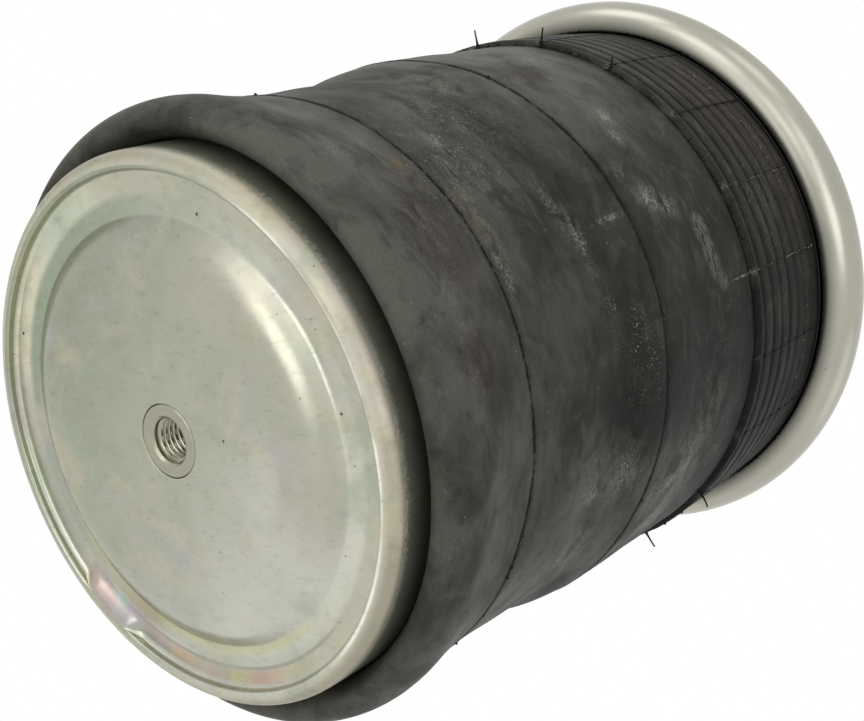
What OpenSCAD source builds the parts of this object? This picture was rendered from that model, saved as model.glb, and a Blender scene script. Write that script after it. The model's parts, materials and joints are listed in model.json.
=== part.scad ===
// Air suspension bellows of the rolling lobe type, standing on its piston.
// Z runs up from the piston's mounting face to the bead plate; all sizes are in millimetres.

/* [Piston] */
// Outer radius of the piston's wall
piston_r = 99.6; // [99.4:0.1:99.8]
// Height of the piston's shoulder above its mounting face
piston_h = 120; // [116:1:130]
// Thickness of the piston's sheet steel
piston_sheet = 2.5; // [2.2:0.1:2.8]
// Radius of the flat plateau that the piston stands on
plateau_r = 63; // [60:0.5:66]
// Depth of the ring-shaped channel round the plateau
channel_z = 6.6; // [6:0.1:7]
// Radius of the crest of the rolled edge
lip_r = 94.5; // [94:0.1:95]
// Depth of that crest behind the plateau
lip_z = 2.5; // [2:0.1:3]
// Radius of the shoulder that the rubber rolls over
shoulder_r = 12; // [10:0.5:14]
// Radius of the foot of the bead seat on top of the piston
seat_r = 70; // [68:0.5:72]
// Height of the bead seat
seat_h = 24; // [22:0.5:26]
// Taper of the bead seat in degrees
seat_taper = 4.5; // [3:0.5:6]

/* [Lower thread] */
// Radius of the tapped hole for the M16 screw
lower_tap_r = 7; // [6.9:0.05:7.1]
// Radius of the chamfer at its mouth
lower_mouth_r = 9.1; // [8.5:0.1:9.5]
// Radius of the collar that shows in the plateau
collar_r = 13.2; // [12.8:0.1:13.4]
// Length of the threaded insert
insert_h = 32; // [28:1:36]

/* [Rubber] */
// Wall thickness of the rubber
rubber_t = 4.4; // [4:0.1:4.4]
// Outer radius of the rolled lobe
lobe_r = 114.3; // [113.5:0.1:115]
// Height of the lobe's widest line
lobe_z = 29.5; // [28:0.5:32]
// How far the lobe's bottom hangs below that line
lobe_drop = 11.5; // [10:0.5:12]
// Height of the moulding line below the ribbed neck
neck_z = 208.3; // [206:0.1:210]
// Number of fine grooves round the neck
groove_count = 7; // [4:1:7]
// Distance from groove to groove
groove_pitch = 7.5; // [6.5:0.1:7.5]
// Depth of one groove
groove_depth = 0.7; // [0.4:0.1:1]
// Width of one groove at its mouth
groove_w = 1.4; // [1:0.1:2]

/* [Bead plate] */
// Outer radius of the rolled rim
rim_r = 124; // [123.5:0.5:125]
// Radius of the roll, seen in section
roll_r = 12.4; // [12:0.1:12.6]
// Height of the plate's top face
plate_z = 292.7; // [292:0.1:294]
// Thickness of the plate's sheet steel
plate_sheet = 3; // [2.8:0.1:3.1]
// Radius of a mounting stud (M12)
stud_r = 6; // [5:1:6]
// Distance between the two studs
stud_span = 157.5; // [140:0.5:160]
// How far a stud stands above the plate
stud_out = 38; // [25:1:45]
// Radius of the tapped air inlet (M22 x 1.5)
inlet_tap_r = 10.2; // [10.1:0.05:10.3]
// Distance of the air inlet from the middle
inlet_y = 44.5; // [40:0.5:48]

/* [Bumper] */
// Height of the rubber bumper
bumper_h = 58; // [50:1:64]
// Radius of the bumper at its foot
bumper_r = 46; // [42:1:50]

/* [Hidden] */
$fn = 96;
gap = 0.3;
joint_gap = 0.1;

zinc = [0.67, 0.67, 0.61];
satin_steel = [0.74, 0.74, 0.69];
dark_steel = [0.45, 0.45, 0.44];
black_rubber = [0.31, 0.31, 0.29];
bumper_rubber = [0.2, 0.2, 0.2];

edge_r = 17;
step_lean = 45;
step_fillet_r = 1.2;
crease_r = 86;
lip_roll_r = 1.3;
lip_foot_r = 0.8;
lip_foot_z = 5.5;
top_skirt_h = 4;
weld_gap = 0.2;
cup_h = piston_h - shoulder_r - top_skirt_h;
collar_hole_r = collar_r + gap;
seat_fillet_r = 3;
seat_round_r = 4;
seat_z = piston_h + seat_h;
shoulder_mid = [piston_r - shoulder_r, piston_h - shoulder_r];

insert_r = 15;
insert_flange_r = 19;
insert_flange_h = 5;
tube_r = 17;
tube_bore_r = 11;
top_insert_h = 24;
screw_r = 6;
screw_bore_r = 6.05;
seal_r = 10.5;
seal_wire_r = 1;
seal_groove_half_w = 1.4;

lobe_inner_r = piston_r + 0.35;
lobe_half_w = (lobe_r - lobe_inner_r) / 2;
lobe_mid_r = lobe_inner_r + lobe_half_w;
lobe_top_z = lobe_z + 6.5;
waist_r = lobe_inner_r + 2 * rubber_t + gap;
belly_r = waist_r + 4.1;
neck_r = 113.5;
roll_mid_r = rim_r - roll_r;
roll_z = plate_z - roll_r;
crimp_r = roll_mid_r - 0.4;
crimp_z = plate_z - 2 * roll_r;
neck_foot_h = 20;
groove_first_z = neck_z + 6;

retainer_r = 85;
retainer_roll_r = 5;
retainer_z = seat_z + piston_sheet;
bumper_base_h = 4;
bumper_base_r = 40;
bumper_hole_r = 14;
washer_h = 2.5;
washer_r = 12;
head_flats = 19;
head_h = 7.5;
screw_end_z = 124;
head_z = retainer_z + bumper_base_h + washer_h;

wire_r = 3.3;
lower_wire = [77.5, 131];
upper_wire = [roll_mid_r + 1, roll_z];
bead_tail_r = shoulder_mid[0] - 1.5;
bead_round_r = 5;
backer_r = 22;
backer_h = 4;
stud_head_r = 14;
stud_shank_r = stud_r + 0.4;
bush_r = 17;
bush_neck_r = 14;
bush_h = 20;

// Points along an arc from angle a to angle b
function arc(centre, r, a, b, steps = 8) =
    [for (i = [0:steps]) let (t = a + (b - a) * i / steps) centre + r * [cos(t), sin(t)]];

// The same for an ellipse with half width w and half height h
function oval(centre, w, h, a, b, steps = 16) =
    [for (i = [0:steps]) let (t = a + (b - a) * i / steps) centre + [w * cos(t), h * sin(t)]];

// Unit vector to the left of a path at one of its points
function left_of(path, i) =
    let (d = path[min(i + 1, len(path) - 1)] - path[max(i - 1, 0)]) [-d[1], d[0]] / norm(d);

// The way back along a path at distance t to its left
function beside(path, t) = [for (i = [len(path) - 1:-1:0]) path[i] + t * left_of(path, i)];

// Closed outline of a sheet of thickness t that lies to the left of a path
function sheet_outline(path, t) = concat(path, beside(path, t));

// One point of the smooth curve through four neighbours, at fraction u between the middle two
function spline_point(a, b, c, d, u) =
    0.5 * (2 * b + (c - a) * u + (2 * a - 5 * b + 4 * c - d) * u * u
        + (3 * b - a - 3 * c + d) * u * u * u);

// Smooth curve through a list of stations
function smooth(p, steps = 5) =
    let (n = len(p) - 1)
    concat([for (i = [0:n - 1]) for (k = [0:steps - 1])
        spline_point(p[max(i - 1, 0)], p[i], p[i + 1], p[min(i + 2, n)], k / steps)], [p[n]]);

// Ring or disc with a given section
module ring(outline) {
    rotate_extrude() polygon(outline);
}

// Straight tube between two heights
module tube(outer, inner, z0, z1) {
    translate([0, 0, z0]) difference() {
        cylinder(r = outer, h = z1 - z0);
        translate([0, 0, -1]) cylinder(r = inner, h = z1 - z0 + 2);
    }
}

// Hoop of round wire
module hoop(centre, r) {
    rotate_extrude() translate(centre) circle(r = r, $fn = 32);
}

// Places its children at both studs
module at_studs() {
    for (side = [-1, 1]) translate([side * stud_span / 2, 0, 0]) children();
}

// Outside of the drawn cup, from the collar hole over plateau and channel to the foot of the lip
cup_base = let (
        arc_drop = edge_r * (1 - cos(step_lean)) + step_fillet_r * (1 - cos(step_lean)),
        foot = [plateau_r + (edge_r + step_fillet_r) * sin(step_lean)
            + (channel_z - arc_drop) / tan(step_lean), channel_z])
    concat(
        [[collar_hole_r, 0]],
        arc([plateau_r, edge_r], edge_r, -90, step_lean - 90),
        arc(foot - [0, step_fillet_r], step_fillet_r, 90 + step_lean, 90, 3),
        [[crease_r, channel_z]],
        arc([lip_r - lip_roll_r - lip_foot_r, lip_foot_z], lip_foot_r, 86, 0, 4));

// Outside of the tightly folded lip and of the wall
cup_wall = let (corner_r = piston_r - lip_r)
    concat(
        arc([lip_r, lip_z + lip_roll_r], lip_roll_r, 180, 270, 5),
        arc([lip_r, lip_z + corner_r], corner_r, -80, 0, 8),
        [[piston_r, cup_h]]);

// Inside of the wall, down into the narrow fold behind the lip
cup_fold = let (
        wall_r = piston_r - piston_sheet,
        half_w = (wall_r - (lip_r - lip_roll_r + piston_sheet)) / 2,
        z = lip_z + lip_roll_r + piston_sheet)
    concat([[wall_r, cup_h]], arc([wall_r - half_w, z], half_w, 0, -180, 6));

module piston_cup() {
    color(zinc) ring(concat(cup_base, cup_wall, cup_fold, beside(cup_base, piston_sheet)));
}

// Top of the piston: skirt, shoulder, flat and tapered bead seat
module piston_top() {
    wall_z = seat_z - seat_round_r;
    wall_r = seat_r - (wall_z - piston_h - seat_fillet_r) * tan(seat_taper);
    path = concat(
        [[piston_r, cup_h + weld_gap]],
        arc(shoulder_mid, shoulder_r, 0, 90),
        arc([seat_r + seat_fillet_r, piston_h + seat_fillet_r], seat_fillet_r, -90,
            seat_taper - 180, 5),
        arc([wall_r - seat_round_r, wall_z], seat_round_r, seat_taper, 90, 5),
        [[insert_r + gap, seat_z]]);
    color(zinc) ring(sheet_outline(path, piston_sheet));
}

// Threaded insert, welded in the plateau with its collar flush
module base_insert() {
    chamfer = lower_mouth_r - lower_tap_r;
    color(satin_steel) difference() {
        union() {
            cylinder(r = collar_r, h = insert_h);
            translate([0, 0, piston_sheet]) cylinder(r = insert_flange_r, h = insert_flange_h);
        }
        translate([0, 0, -1]) cylinder(r = lower_tap_r, h = insert_h + 2);
        translate([0, 0, -chamfer]) cylinder(r1 = lower_mouth_r + chamfer, r2 = lower_tap_r,
            h = 2 * chamfer);
    }
}

// Tube that carries the load from the seat to the insert
module support_tube() {
    color(dark_steel) tube(tube_r, tube_bore_r, insert_h, seat_z - top_insert_h);
}

// Tapped insert in the seat, with a groove for the seal
module top_insert() {
    color(dark_steel) difference() {
        translate([0, 0, seat_z - top_insert_h]) union() {
            cylinder(r = insert_r, h = top_insert_h);
            translate([0, 0, top_insert_h - piston_sheet - insert_flange_h])
                cylinder(r = insert_flange_r, h = insert_flange_h);
        }
        translate([0, 0, seat_z - top_insert_h - 1]) cylinder(r = screw_bore_r, h = top_insert_h + 2);
        tube(seal_r + seal_groove_half_w, seal_r - seal_groove_half_w, seat_z - 2 * seal_wire_r,
            seat_z + 1);
    }
}

// Rubber bead seated on the taper, moulded round its wire
module lower_bead() {
    top = seat_z - gap / 2;
    low = piston_h + gap;
    outer = retainer_r - gap;
    tail_top = low + rubber_t;
    tail_fillet = [0.5, 1.5];
    heel_h = 4;
    seat_clear = 0.5;
    seat_top_r = seat_r - (seat_h - seat_round_r - seat_fillet_r) * tan(seat_taper) + gap;
    outline = concat(
        [[seat_r + seat_fillet_r + 2 * seat_clear, low], [bead_tail_r, low],
            [bead_tail_r, tail_top], [outer, tail_top] + tail_fillet, [outer, tail_top + heel_h]],
        arc([outer - bead_round_r, top - bead_round_r], bead_round_r, 0, 90, 6),
        [[seat_top_r - seat_clear, top], [seat_top_r, seat_z - seat_round_r],
            [seat_r + gap, piston_h + seat_fillet_r + seat_clear]]);
    color(black_rubber) rotate_extrude() difference() {
        polygon(outline);
        translate(lower_wire) circle(r = wire_r, $fn = 32);
    }
}

module lower_bead_wire() {
    color(dark_steel) hoop(lower_wire, wire_r);
}

// Pressed disc that holds the bead down on its seat
module bead_retainer() {
    mid = [retainer_r - retainer_roll_r, seat_z - retainer_roll_r];
    path = concat([[screw_r + gap, seat_z]], arc(mid, retainer_roll_r, 90, 0, 6));
    color(zinc) ring(sheet_outline(path, piston_sheet));
}

module closure_seal() {
    color(bumper_rubber) hoop([seal_r, seat_z - seal_wire_r], seal_wire_r);
}

module bumper_base() {
    color(dark_steel) tube(bumper_base_r, screw_r + gap, retainer_z, retainer_z + bumper_base_h);
}

// Bump stop: broad foot over its steel base, waist, belly and a rounded crown
module bumper() {
    z0 = retainer_z;
    foot_h = 6;
    neck = [bumper_r - 8, z0 + 17];
    belly = [bumper_r - 4.5, z0 + 33];
    crown_r = 10;
    crown_in = 4;
    crown_mid = [bumper_r - crown_in - crown_r, z0 + bumper_h - crown_r];
    side = smooth([[bumper_r, z0], [bumper_r, z0 + foot_h], neck, belly,
        crown_mid + [crown_r, 0]]);
    outline = concat(
        [[bumper_base_r + gap, z0]], side, arc(crown_mid, crown_r, 10, 90, 7),
        [[bumper_hole_r, z0 + bumper_h], [bumper_hole_r, z0 + bumper_base_h],
            [bumper_base_r + gap, z0 + bumper_base_h]]);
    color(bumper_rubber) ring(outline);
}

module closure_washer() {
    z0 = retainer_z + bumper_base_h;
    color(satin_steel) tube(washer_r, screw_r + 0.4, z0, z0 + washer_h);
}

module closure_screw() {
    chamfer = 1.2;
    color(satin_steel) {
        translate([0, 0, head_z]) cylinder(r = head_flats / 2 / cos(30), h = head_h, $fn = 6);
        translate([0, 0, screw_end_z + chamfer])
            cylinder(r = screw_r, h = head_z - screw_end_z - chamfer);
        translate([0, 0, screw_end_z]) cylinder(r1 = screw_r - chamfer, r2 = screw_r, h = chamfer);
    }
}

// Rubber that lies on the piston, from its bead over the shoulder down to the lobe
module bellows_inner_wall() {
    r = lobe_inner_r - shoulder_mid[0];
    path = concat(
        [[bead_tail_r + weld_gap, shoulder_mid[1] + r]],
        arc(shoulder_mid, r, 90, 0),
        [[lobe_inner_r, lobe_top_z + gap]]);
    color(black_rubber) ring(sheet_outline(path, rubber_t));
}

// Rolled edge where the outer wall turns inwards and up the piston
module bellows_lobe() {
    middle = [lobe_mid_r, lobe_z];
    outline = concat(
        [[sleeve_start_r, lobe_top_z]],
        oval(middle, lobe_half_w, lobe_drop, 0, -180),
        [[lobe_inner_r, lobe_top_z], [lobe_inner_r + rubber_t, lobe_top_z]],
        oval(middle, lobe_half_w - rubber_t, lobe_drop - rubber_t, -180, 0),
        [[sleeve_start_r - rubber_t, lobe_top_z]]);
    color(black_rubber) ring(outline);
}

// Radius and height of the outer wall: it leans on the piston as a waist and swells above it
sleeve_start_r = lobe_r - 0.9;
seam_step = 1.8;
sleeve_stations = [[sleeve_start_r, lobe_top_z + gap], [lobe_r - 2.7, 45], [waist_r + 0.2, 62],
    [waist_r, 88], [waist_r + 0.2, 114], [belly_r - 0.9, 128], [belly_r, 145], [belly_r - 1, 175],
    [neck_r - seam_step, neck_z]];

module bellows_sleeve() {
    outer = smooth(sleeve_stations, 4);
    inner = [for (i = [len(outer) - 1:-1:0]) outer[i] - [rubber_t, 0]];
    color(black_rubber) ring(concat(outer, inner));
}

// Radius of the neck at height z
function neck_at(z) = neck_r + (crimp_r - neck_r) * pow((z - neck_z) / (crimp_z - neck_z), 2);

// Profile of one groove round height z
function groove(z) = let (r = neck_at(z))
    [[r, z - groove_w / 2], [r - groove_depth, z - groove_w / 6],
        [r - groove_depth, z + groove_w / 6], [r, z + groove_w / 2]];

// Band of fine grooves between the moulding line and the crimped rim
module bellows_neck() {
    start_z = neck_z + joint_gap;
    grooves = [for (i = [0:groove_count - 1]) for (p = groove(groove_first_z + i * groove_pitch)) p];
    outer = concat([[neck_r - groove_depth, start_z], [neck_r, start_z + groove_depth]],
        grooves, [[crimp_r, crimp_z]]);
    inner = [[crimp_r - rubber_t, crimp_z], [crimp_r - rubber_t, crimp_z - neck_foot_h],
        [neck_r - rubber_t, groove_first_z], [neck_r - rubber_t, start_z]];
    color(black_rubber) ring(concat(outer, inner));
}

// Rubber bead gripped inside the rolled rim, moulded round its wire
module upper_bead() {
    r = roll_r - plate_sheet - 2 * joint_gap;
    start = -acos((crimp_r - roll_mid_r) / r);
    end = 210;
    toe_h = 8;
    outline = concat(
        [[crimp_r - rubber_t, crimp_z + joint_gap], [crimp_r, crimp_z + joint_gap]],
        arc([roll_mid_r, roll_z], r, start, end, 24),
        [[crimp_r - rubber_t, roll_z - toe_h]]);
    color(black_rubber) rotate_extrude() difference() {
        polygon(outline);
        translate(upper_wire) circle(r = wire_r, $fn = 32);
    }
}

module upper_bead_wire() {
    color(dark_steel) hoop(upper_wire, wire_r);
}

// Top plate with its edge rolled round the bead
module bead_plate() {
    path = concat([[0, plate_z]], arc([roll_mid_r, roll_z], roll_r, 90, -90, 20));
    hole_z = plate_z - 2 * plate_sheet;
    hole_h = 3 * plate_sheet;
    color(satin_steel) difference() {
        ring(sheet_outline(path, -plate_sheet));
        at_studs() translate([0, 0, hole_z]) cylinder(r = stud_shank_r + joint_gap, h = hole_h);
        translate([0, inlet_y, hole_z]) cylinder(r = bush_neck_r + joint_gap, h = hole_h);
    }
}

// Discs welded under the plate that spread the load of the studs
module stud_backers() {
    z0 = plate_z - plate_sheet - backer_h;
    color(dark_steel) at_studs() tube(backer_r, stud_shank_r + joint_gap, z0, z0 + backer_h);
}

// Studs with a flat head and a thicker shank inside the plate, and a chamfered tip outside
module mounting_studs() {
    z0 = plate_z - plate_sheet - 2 * backer_h;
    chamfer = 1.2;
    color(satin_steel) at_studs() {
        translate([0, 0, z0]) cylinder(r = stud_head_r, h = backer_h);
        translate([0, 0, z0]) cylinder(r = stud_shank_r, h = plate_z - z0);
        translate([0, 0, z0]) cylinder(r = stud_r, h = plate_z + stud_out - chamfer - z0);
        translate([0, 0, plate_z + stud_out - chamfer])
            cylinder(r1 = stud_r, r2 = stud_r - chamfer, h = chamfer);
    }
}

// Welded bush with the tapped air inlet
module inlet_bush() {
    chamfer = 1;
    color(satin_steel) translate([0, inlet_y, plate_z]) difference() {
        union() {
            translate([0, 0, -bush_h]) cylinder(r = bush_r, h = bush_h - plate_sheet);
            translate([0, 0, -bush_h]) cylinder(r = bush_neck_r, h = bush_h);
        }
        translate([0, 0, -bush_h - 1]) cylinder(r = inlet_tap_r, h = bush_h + 2);
        translate([0, 0, -chamfer]) cylinder(r1 = inlet_tap_r, r2 = inlet_tap_r + 2 * chamfer,
            h = 2 * chamfer);
    }
}

piston_cup();
base_insert();
support_tube();
piston_top();
top_insert();
lower_bead();
lower_bead_wire();
bead_retainer();
closure_seal();
bumper_base();
bumper();
closure_washer();
closure_screw();
bellows_inner_wall();
bellows_lobe();
bellows_sleeve();
bellows_neck();
upper_bead();
upper_bead_wire();
bead_plate();
stud_backers();
mounting_studs();
inlet_bush();
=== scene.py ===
"""Looks of an air suspension bellows: moulded rubber, plated steel and threads, in a plain studio.

Outlines and places are in millimetres, as (radius, height) from the piston's mounting face;
settings that the sidebar shows are in metres.
"""

import json
import math

import bmesh
import bpy
import numpy as np
from mathutils import Matrix, Vector


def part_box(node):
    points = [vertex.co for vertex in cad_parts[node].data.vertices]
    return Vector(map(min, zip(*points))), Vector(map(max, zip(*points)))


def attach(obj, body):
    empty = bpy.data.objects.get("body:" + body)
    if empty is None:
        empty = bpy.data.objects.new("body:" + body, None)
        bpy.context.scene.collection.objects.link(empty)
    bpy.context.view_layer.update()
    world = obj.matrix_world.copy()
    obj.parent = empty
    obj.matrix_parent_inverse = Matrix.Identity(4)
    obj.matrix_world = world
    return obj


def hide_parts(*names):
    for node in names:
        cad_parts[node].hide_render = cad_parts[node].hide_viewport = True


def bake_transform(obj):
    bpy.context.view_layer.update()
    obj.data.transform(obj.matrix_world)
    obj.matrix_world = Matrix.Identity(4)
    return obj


bl_info = {
    "name": "Air Suspension Bellows",
    "version": (1, 0, 0),
    "blender": (4, 5, 0),
    "location": "3D View > Sidebar > Bellows",
    "description": "Rubber bellows with its plated piston, crimped plate, threads and studio",
    "category": "Mesh",
}

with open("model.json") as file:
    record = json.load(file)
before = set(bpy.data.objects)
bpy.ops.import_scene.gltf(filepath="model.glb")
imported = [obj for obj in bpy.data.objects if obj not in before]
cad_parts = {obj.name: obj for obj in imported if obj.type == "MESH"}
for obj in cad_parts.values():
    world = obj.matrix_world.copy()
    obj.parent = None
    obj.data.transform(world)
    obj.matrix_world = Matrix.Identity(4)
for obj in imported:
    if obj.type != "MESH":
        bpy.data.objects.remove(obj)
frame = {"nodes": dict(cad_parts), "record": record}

MM = 0.001
TURN = 2 * math.pi


def corner(node, side):
    """Lowest (0) or highest (1) corner of a construction node in millimetres."""
    return np.array(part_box(node)[side]) / MM


CUP_R, _, CUP_TOP = corner("piston_cup", 1)
LOBE_R, _, LOBE_TOP = corner("bellows_lobe", 1)
LOBE_LOW = corner("bellows_lobe", 0)[2]
SEAM_Z = corner("bellows_neck", 0)[2]
CRIMP_Z = corner("bellows_neck", 1)[2]
RIM_R, _, PLATE_Z = corner("bead_plate", 1)
ROLL_R = (PLATE_Z - CRIMP_Z) / 2
ROLL_MID = (RIM_R - ROLL_R, PLATE_Z - ROLL_R)
STUD_TOP = corner("mounting_studs", 1)[2]
STUD_LOW = corner("mounting_studs", 0)[2]
INSERT_H = corner("base_insert", 1)[2]
BUSH_LOW = corner("inlet_bush", 0)[2]
MOUNTS = {mount["name"]: mount for mount in frame["record"]["mounts"]}
STUD_X = MOUNTS["plate_studs"]["dims"]["pcd_mm"] / 2
STUD_R = MOUNTS["plate_studs"]["dims"]["stud_r_mm"]
INLET_Y = MOUNTS["air_inlet"]["pos_m"][1] / MM

# Places on the drawn cup and on the rubber
LOBE_INNER_R = CUP_R + 0.35
LOBE_Z = 29.5
CHANNEL_R = 77.4
CREASE_R = 86
LIP_R = 94.5
LIP_Z = 2.5
LIP_ROLL = 1.3
FOLD_Z = 12
VENT_COUNT = 20
VENT_FIRST = 13.5
VENT_STEP = 360 / VENT_COUNT
MOULD_LINES = (61.0, 138.7, SEAM_Z)
GROOVES = [SEAM_Z + 6 + 7.5 * k for k in range(7)]
# Depth of the part of a tapped hole that has no thread
PLAIN_MOUTH = 2.4
# Columns of the round meshes
WALL_COLUMNS = 720
CUP_COLUMNS = 480
PLATE_COLUMNS = 360
TAP_COLUMNS = 144
STUD_COLUMNS = 96


# Curves and small waves

def arc(centre, radius, start, end, steps):
    """Points along a round stretch of an outline; angles in degrees."""
    turns = np.radians(np.linspace(start, end, steps + 1))
    return [(centre[0] + radius * math.cos(t), centre[1] + radius * math.sin(t)) for t in turns]


def oval(centre, half_w, half_h, start, end, steps):
    """Points along a stretch of an ellipse; angles in degrees."""
    turns = np.radians(np.linspace(start, end, steps + 1))
    return [(centre[0] + half_w * math.cos(t), centre[1] + half_h * math.sin(t)) for t in turns]


def smooth(stations, steps):
    """Points along the smooth curve through a list of stations."""
    p = np.array([stations[0], *stations, stations[-1]], dtype=float)
    points = []
    for a, b, c, d in zip(p, p[1:], p[2:], p[3:]):
        for u in np.arange(steps) / steps:
            points.append(0.5 * (2 * b + (c - a) * u + (2 * a - 5 * b + 4 * c - d) * u ** 2
                                 + (3 * b - a - 3 * c + d) * u ** 3))
    return [tuple(point) for point in points] + [tuple(p[-1])]


def filled(path, spacing):
    """The same outline with points added where they lie further apart than spacing."""
    points = [path[0]]
    for a, b in zip(path, path[1:]):
        steps = max(1, math.ceil(math.dist(a, b) / spacing))
        points += [(a[0] + (b[0] - a[0]) * k / steps, a[1] + (b[1] - a[1]) * k / steps)
                   for k in range(1, steps + 1)]
    return points


def beside(path, distance):
    """The path moved to its left by a distance."""
    p = np.array(path)
    way = np.gradient(p, axis=0)
    way /= np.linalg.norm(way, axis=1)[:, None]
    return [tuple(point) for point in p + distance * np.stack([-way[:, 1], way[:, 0]], axis=1)]


def ease(value):
    """Smooth step from 0 to 1."""
    t = np.clip(value, 0, 1)
    return t * t * (3 - 2 * t)


def window(value, low, high, soft):
    """1 between low and high, and 0 outside, with soft borders."""
    return ease((value - low) / soft + 0.5) * ease((high - value) / soft + 0.5)


def turn_from(angles, degrees):
    """Signed angle in degrees from a given direction."""
    return (np.degrees(angles) - degrees + 180) % 360 - 180


def sector(angles, degrees, before, after, soft):
    """1 in a sector from before to after a direction, in degrees, with soft borders."""
    return window(turn_from(angles, degrees), before, after, soft)


def ripple(angles, size, orders, seed):
    """Small waves round the axis."""
    rng = np.random.default_rng(seed)
    waves = [np.cos(n * angles + rng.uniform(0, TURN)) * rng.uniform(0.4, 1) for n in orders]
    return size * sum(waves) / math.sqrt(len(waves))


def round_angles(columns):
    """Angles of the columns of a round mesh."""
    return np.arange(columns) * TURN / columns


# Meshes

def new_piece(name, data):
    """Puts a mesh, a lamp or a camera in the scene as an object."""
    piece = bpy.data.objects.new(name, data)
    bpy.context.scene.collection.objects.link(piece)
    return piece


def round_piece(name, radii, heights, closed=True, sharp=35):
    """Wall that runs round the axis, from grids of radii and heights, rows by columns."""
    rows, columns = radii.shape
    angles = round_angles(columns)
    places = np.stack([radii * np.cos(angles), radii * np.sin(angles), heights + 0 * radii], axis=-1)
    row = np.arange(rows if closed else rows - 1)[:, None]
    column = np.arange(columns)
    lower = row * columns + column
    upper = (row + 1) % rows * columns + column
    faces = np.stack([lower, np.roll(lower, -1, 1), np.roll(upper, -1, 1), upper], axis=-1)
    mesh = bpy.data.meshes.new(name)
    mesh.from_pydata((places.reshape(-1, 3) * MM).tolist(), [], faces.reshape(-1, 4).tolist())
    piece = new_piece(name, mesh)
    finish_mesh(piece, sharp)
    return piece


def spun(outline, columns):
    """The same outline all round, as grids of radii and heights."""
    points = np.array(outline)
    return points[:, :1] * np.ones(columns), points[:, 1:] * np.ones(columns)


def turned_piece(name, outline, columns, closed=True, sharp=35):
    """Plain turned form with the same outline all round."""
    radii, heights = spun(outline, columns)
    piece = round_piece(name, radii, heights, closed, sharp)
    if radii.min() < 1e-6:
        weld(piece)
    return piece


def weld(piece):
    """Joins points that lie on the same place."""
    form = bmesh.new()
    form.from_mesh(piece.data)
    bmesh.ops.remove_doubles(form, verts=form.verts, dist=1e-6)
    form.to_mesh(piece.data)
    form.free()


def finish_mesh(piece, sharp):
    """Smooth shading with sharp edges kept, and the place of each point at rest."""
    mesh = piece.data
    mesh.shade_smooth()
    mesh.set_sharp_from_angle(angle=math.radians(sharp))
    keep_places(piece)


def keep_places(piece):
    """Stores where each point lies at rest, for patterns that stick to the surface."""
    mesh = piece.data
    places = np.empty(len(mesh.vertices) * 3)
    mesh.vertices.foreach_get("co", places)
    layer = mesh.attributes.get("rest_place") or mesh.attributes.new("rest_place", "FLOAT_VECTOR", "POINT")
    layer.data.foreach_set("vector", places)


def paint(piece, name, values):
    """Stores a number for each point of a mesh."""
    layer = piece.data.attributes.new(name, "FLOAT", "POINT")
    layer.data.foreach_set("value", np.ravel(values).astype(float))


def paint_colour(piece, name, values):
    """Stores a colour for each point of a mesh."""
    layer = piece.data.attributes.new(name, "FLOAT_COLOR", "POINT")
    opaque = np.concatenate([values, np.ones(values.shape[:-1] + (1,))], axis=-1)
    layer.data.foreach_set("color", np.ravel(opaque))


def hairs(name, lines, sides=8):
    """Thin round strands; each line is a list of (point, radius) from root to tip."""
    places, faces = [], []
    for line in lines:
        start = len(places)
        points = [Vector(point) for point, _ in line]
        for k, (point, radius) in enumerate(line):
            way = (points[min(k + 1, len(points) - 1)] - points[max(k - 1, 0)]).normalized()
            turn = way.to_track_quat("Z", "Y")
            for j in range(sides):
                t = TURN * j / sides
                side = turn @ Vector((math.cos(t), math.sin(t), 0))
                places.append((points[k] + side * radius) * MM)
        for k in range(len(line) - 1):
            for j in range(sides):
                a = start + k * sides + j
                b = start + k * sides + (j + 1) % sides
                faces.append((a, b, b + sides, a + sides))
        faces.append(tuple(start + j for j in reversed(range(sides))))
        faces.append(tuple(start + (len(line) - 1) * sides + j for j in range(sides)))
    mesh = bpy.data.meshes.new(name)
    mesh.from_pydata(places, [], faces)
    piece = new_piece(name, mesh)
    finish_mesh(piece, 60)
    return piece


def cut(piece, tools):
    """Cuts holes in a piece with round tools, given as (x, y, radius, low, high)."""
    for x, y, radius, low, high in tools:
        drill = turned_piece("drill", [(0, low), (radius, low), (radius, high), (0, high)], 96, False)
        drill.location = (x * MM, y * MM, 0)
        bpy.context.view_layer.update()
        hole = piece.modifiers.new("hole", "BOOLEAN")
        hole.object = drill
        hole.operation = "DIFFERENCE"
        hole.solver = "EXACT"
        shape = piece.evaluated_get(bpy.context.evaluated_depsgraph_get())
        holed = bpy.data.meshes.new_from_object(shape)
        piece.modifiers.clear()
        piece.data = holed
        bpy.data.objects.remove(drill)


# Shader building

def shade(red, green, blue):
    """Colour as a screen shows it, 0 to 255, turned into the shader's own numbers."""
    def channel(value):
        v = value / 255
        return v / 12.92 if v <= 0.04045 else ((v + 0.055) / 1.055) ** 2.4
    return (channel(red), channel(green), channel(blue), 1)


def grey(value):
    """Grey in the shader's own numbers."""
    return (value, value, value, 1)


def connect(socket, value):
    """Links a socket to a value of the shader, or sets it to a number or a colour."""
    if isinstance(value, Value):
        value.tree.links.new(value.socket, socket)
    else:
        socket.default_value = value


def add(tree, kind, settings=None, **sockets):
    """Adds a shader node; sockets take numbers, colours or values."""
    node = tree.nodes.new("ShaderNode" + kind)
    for key, value in (settings or {}).items():
        setattr(node, key, value)
    for key, value in sockets.items():
        connect(node.inputs[key.replace("_", " ")], value)
    return node


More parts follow.
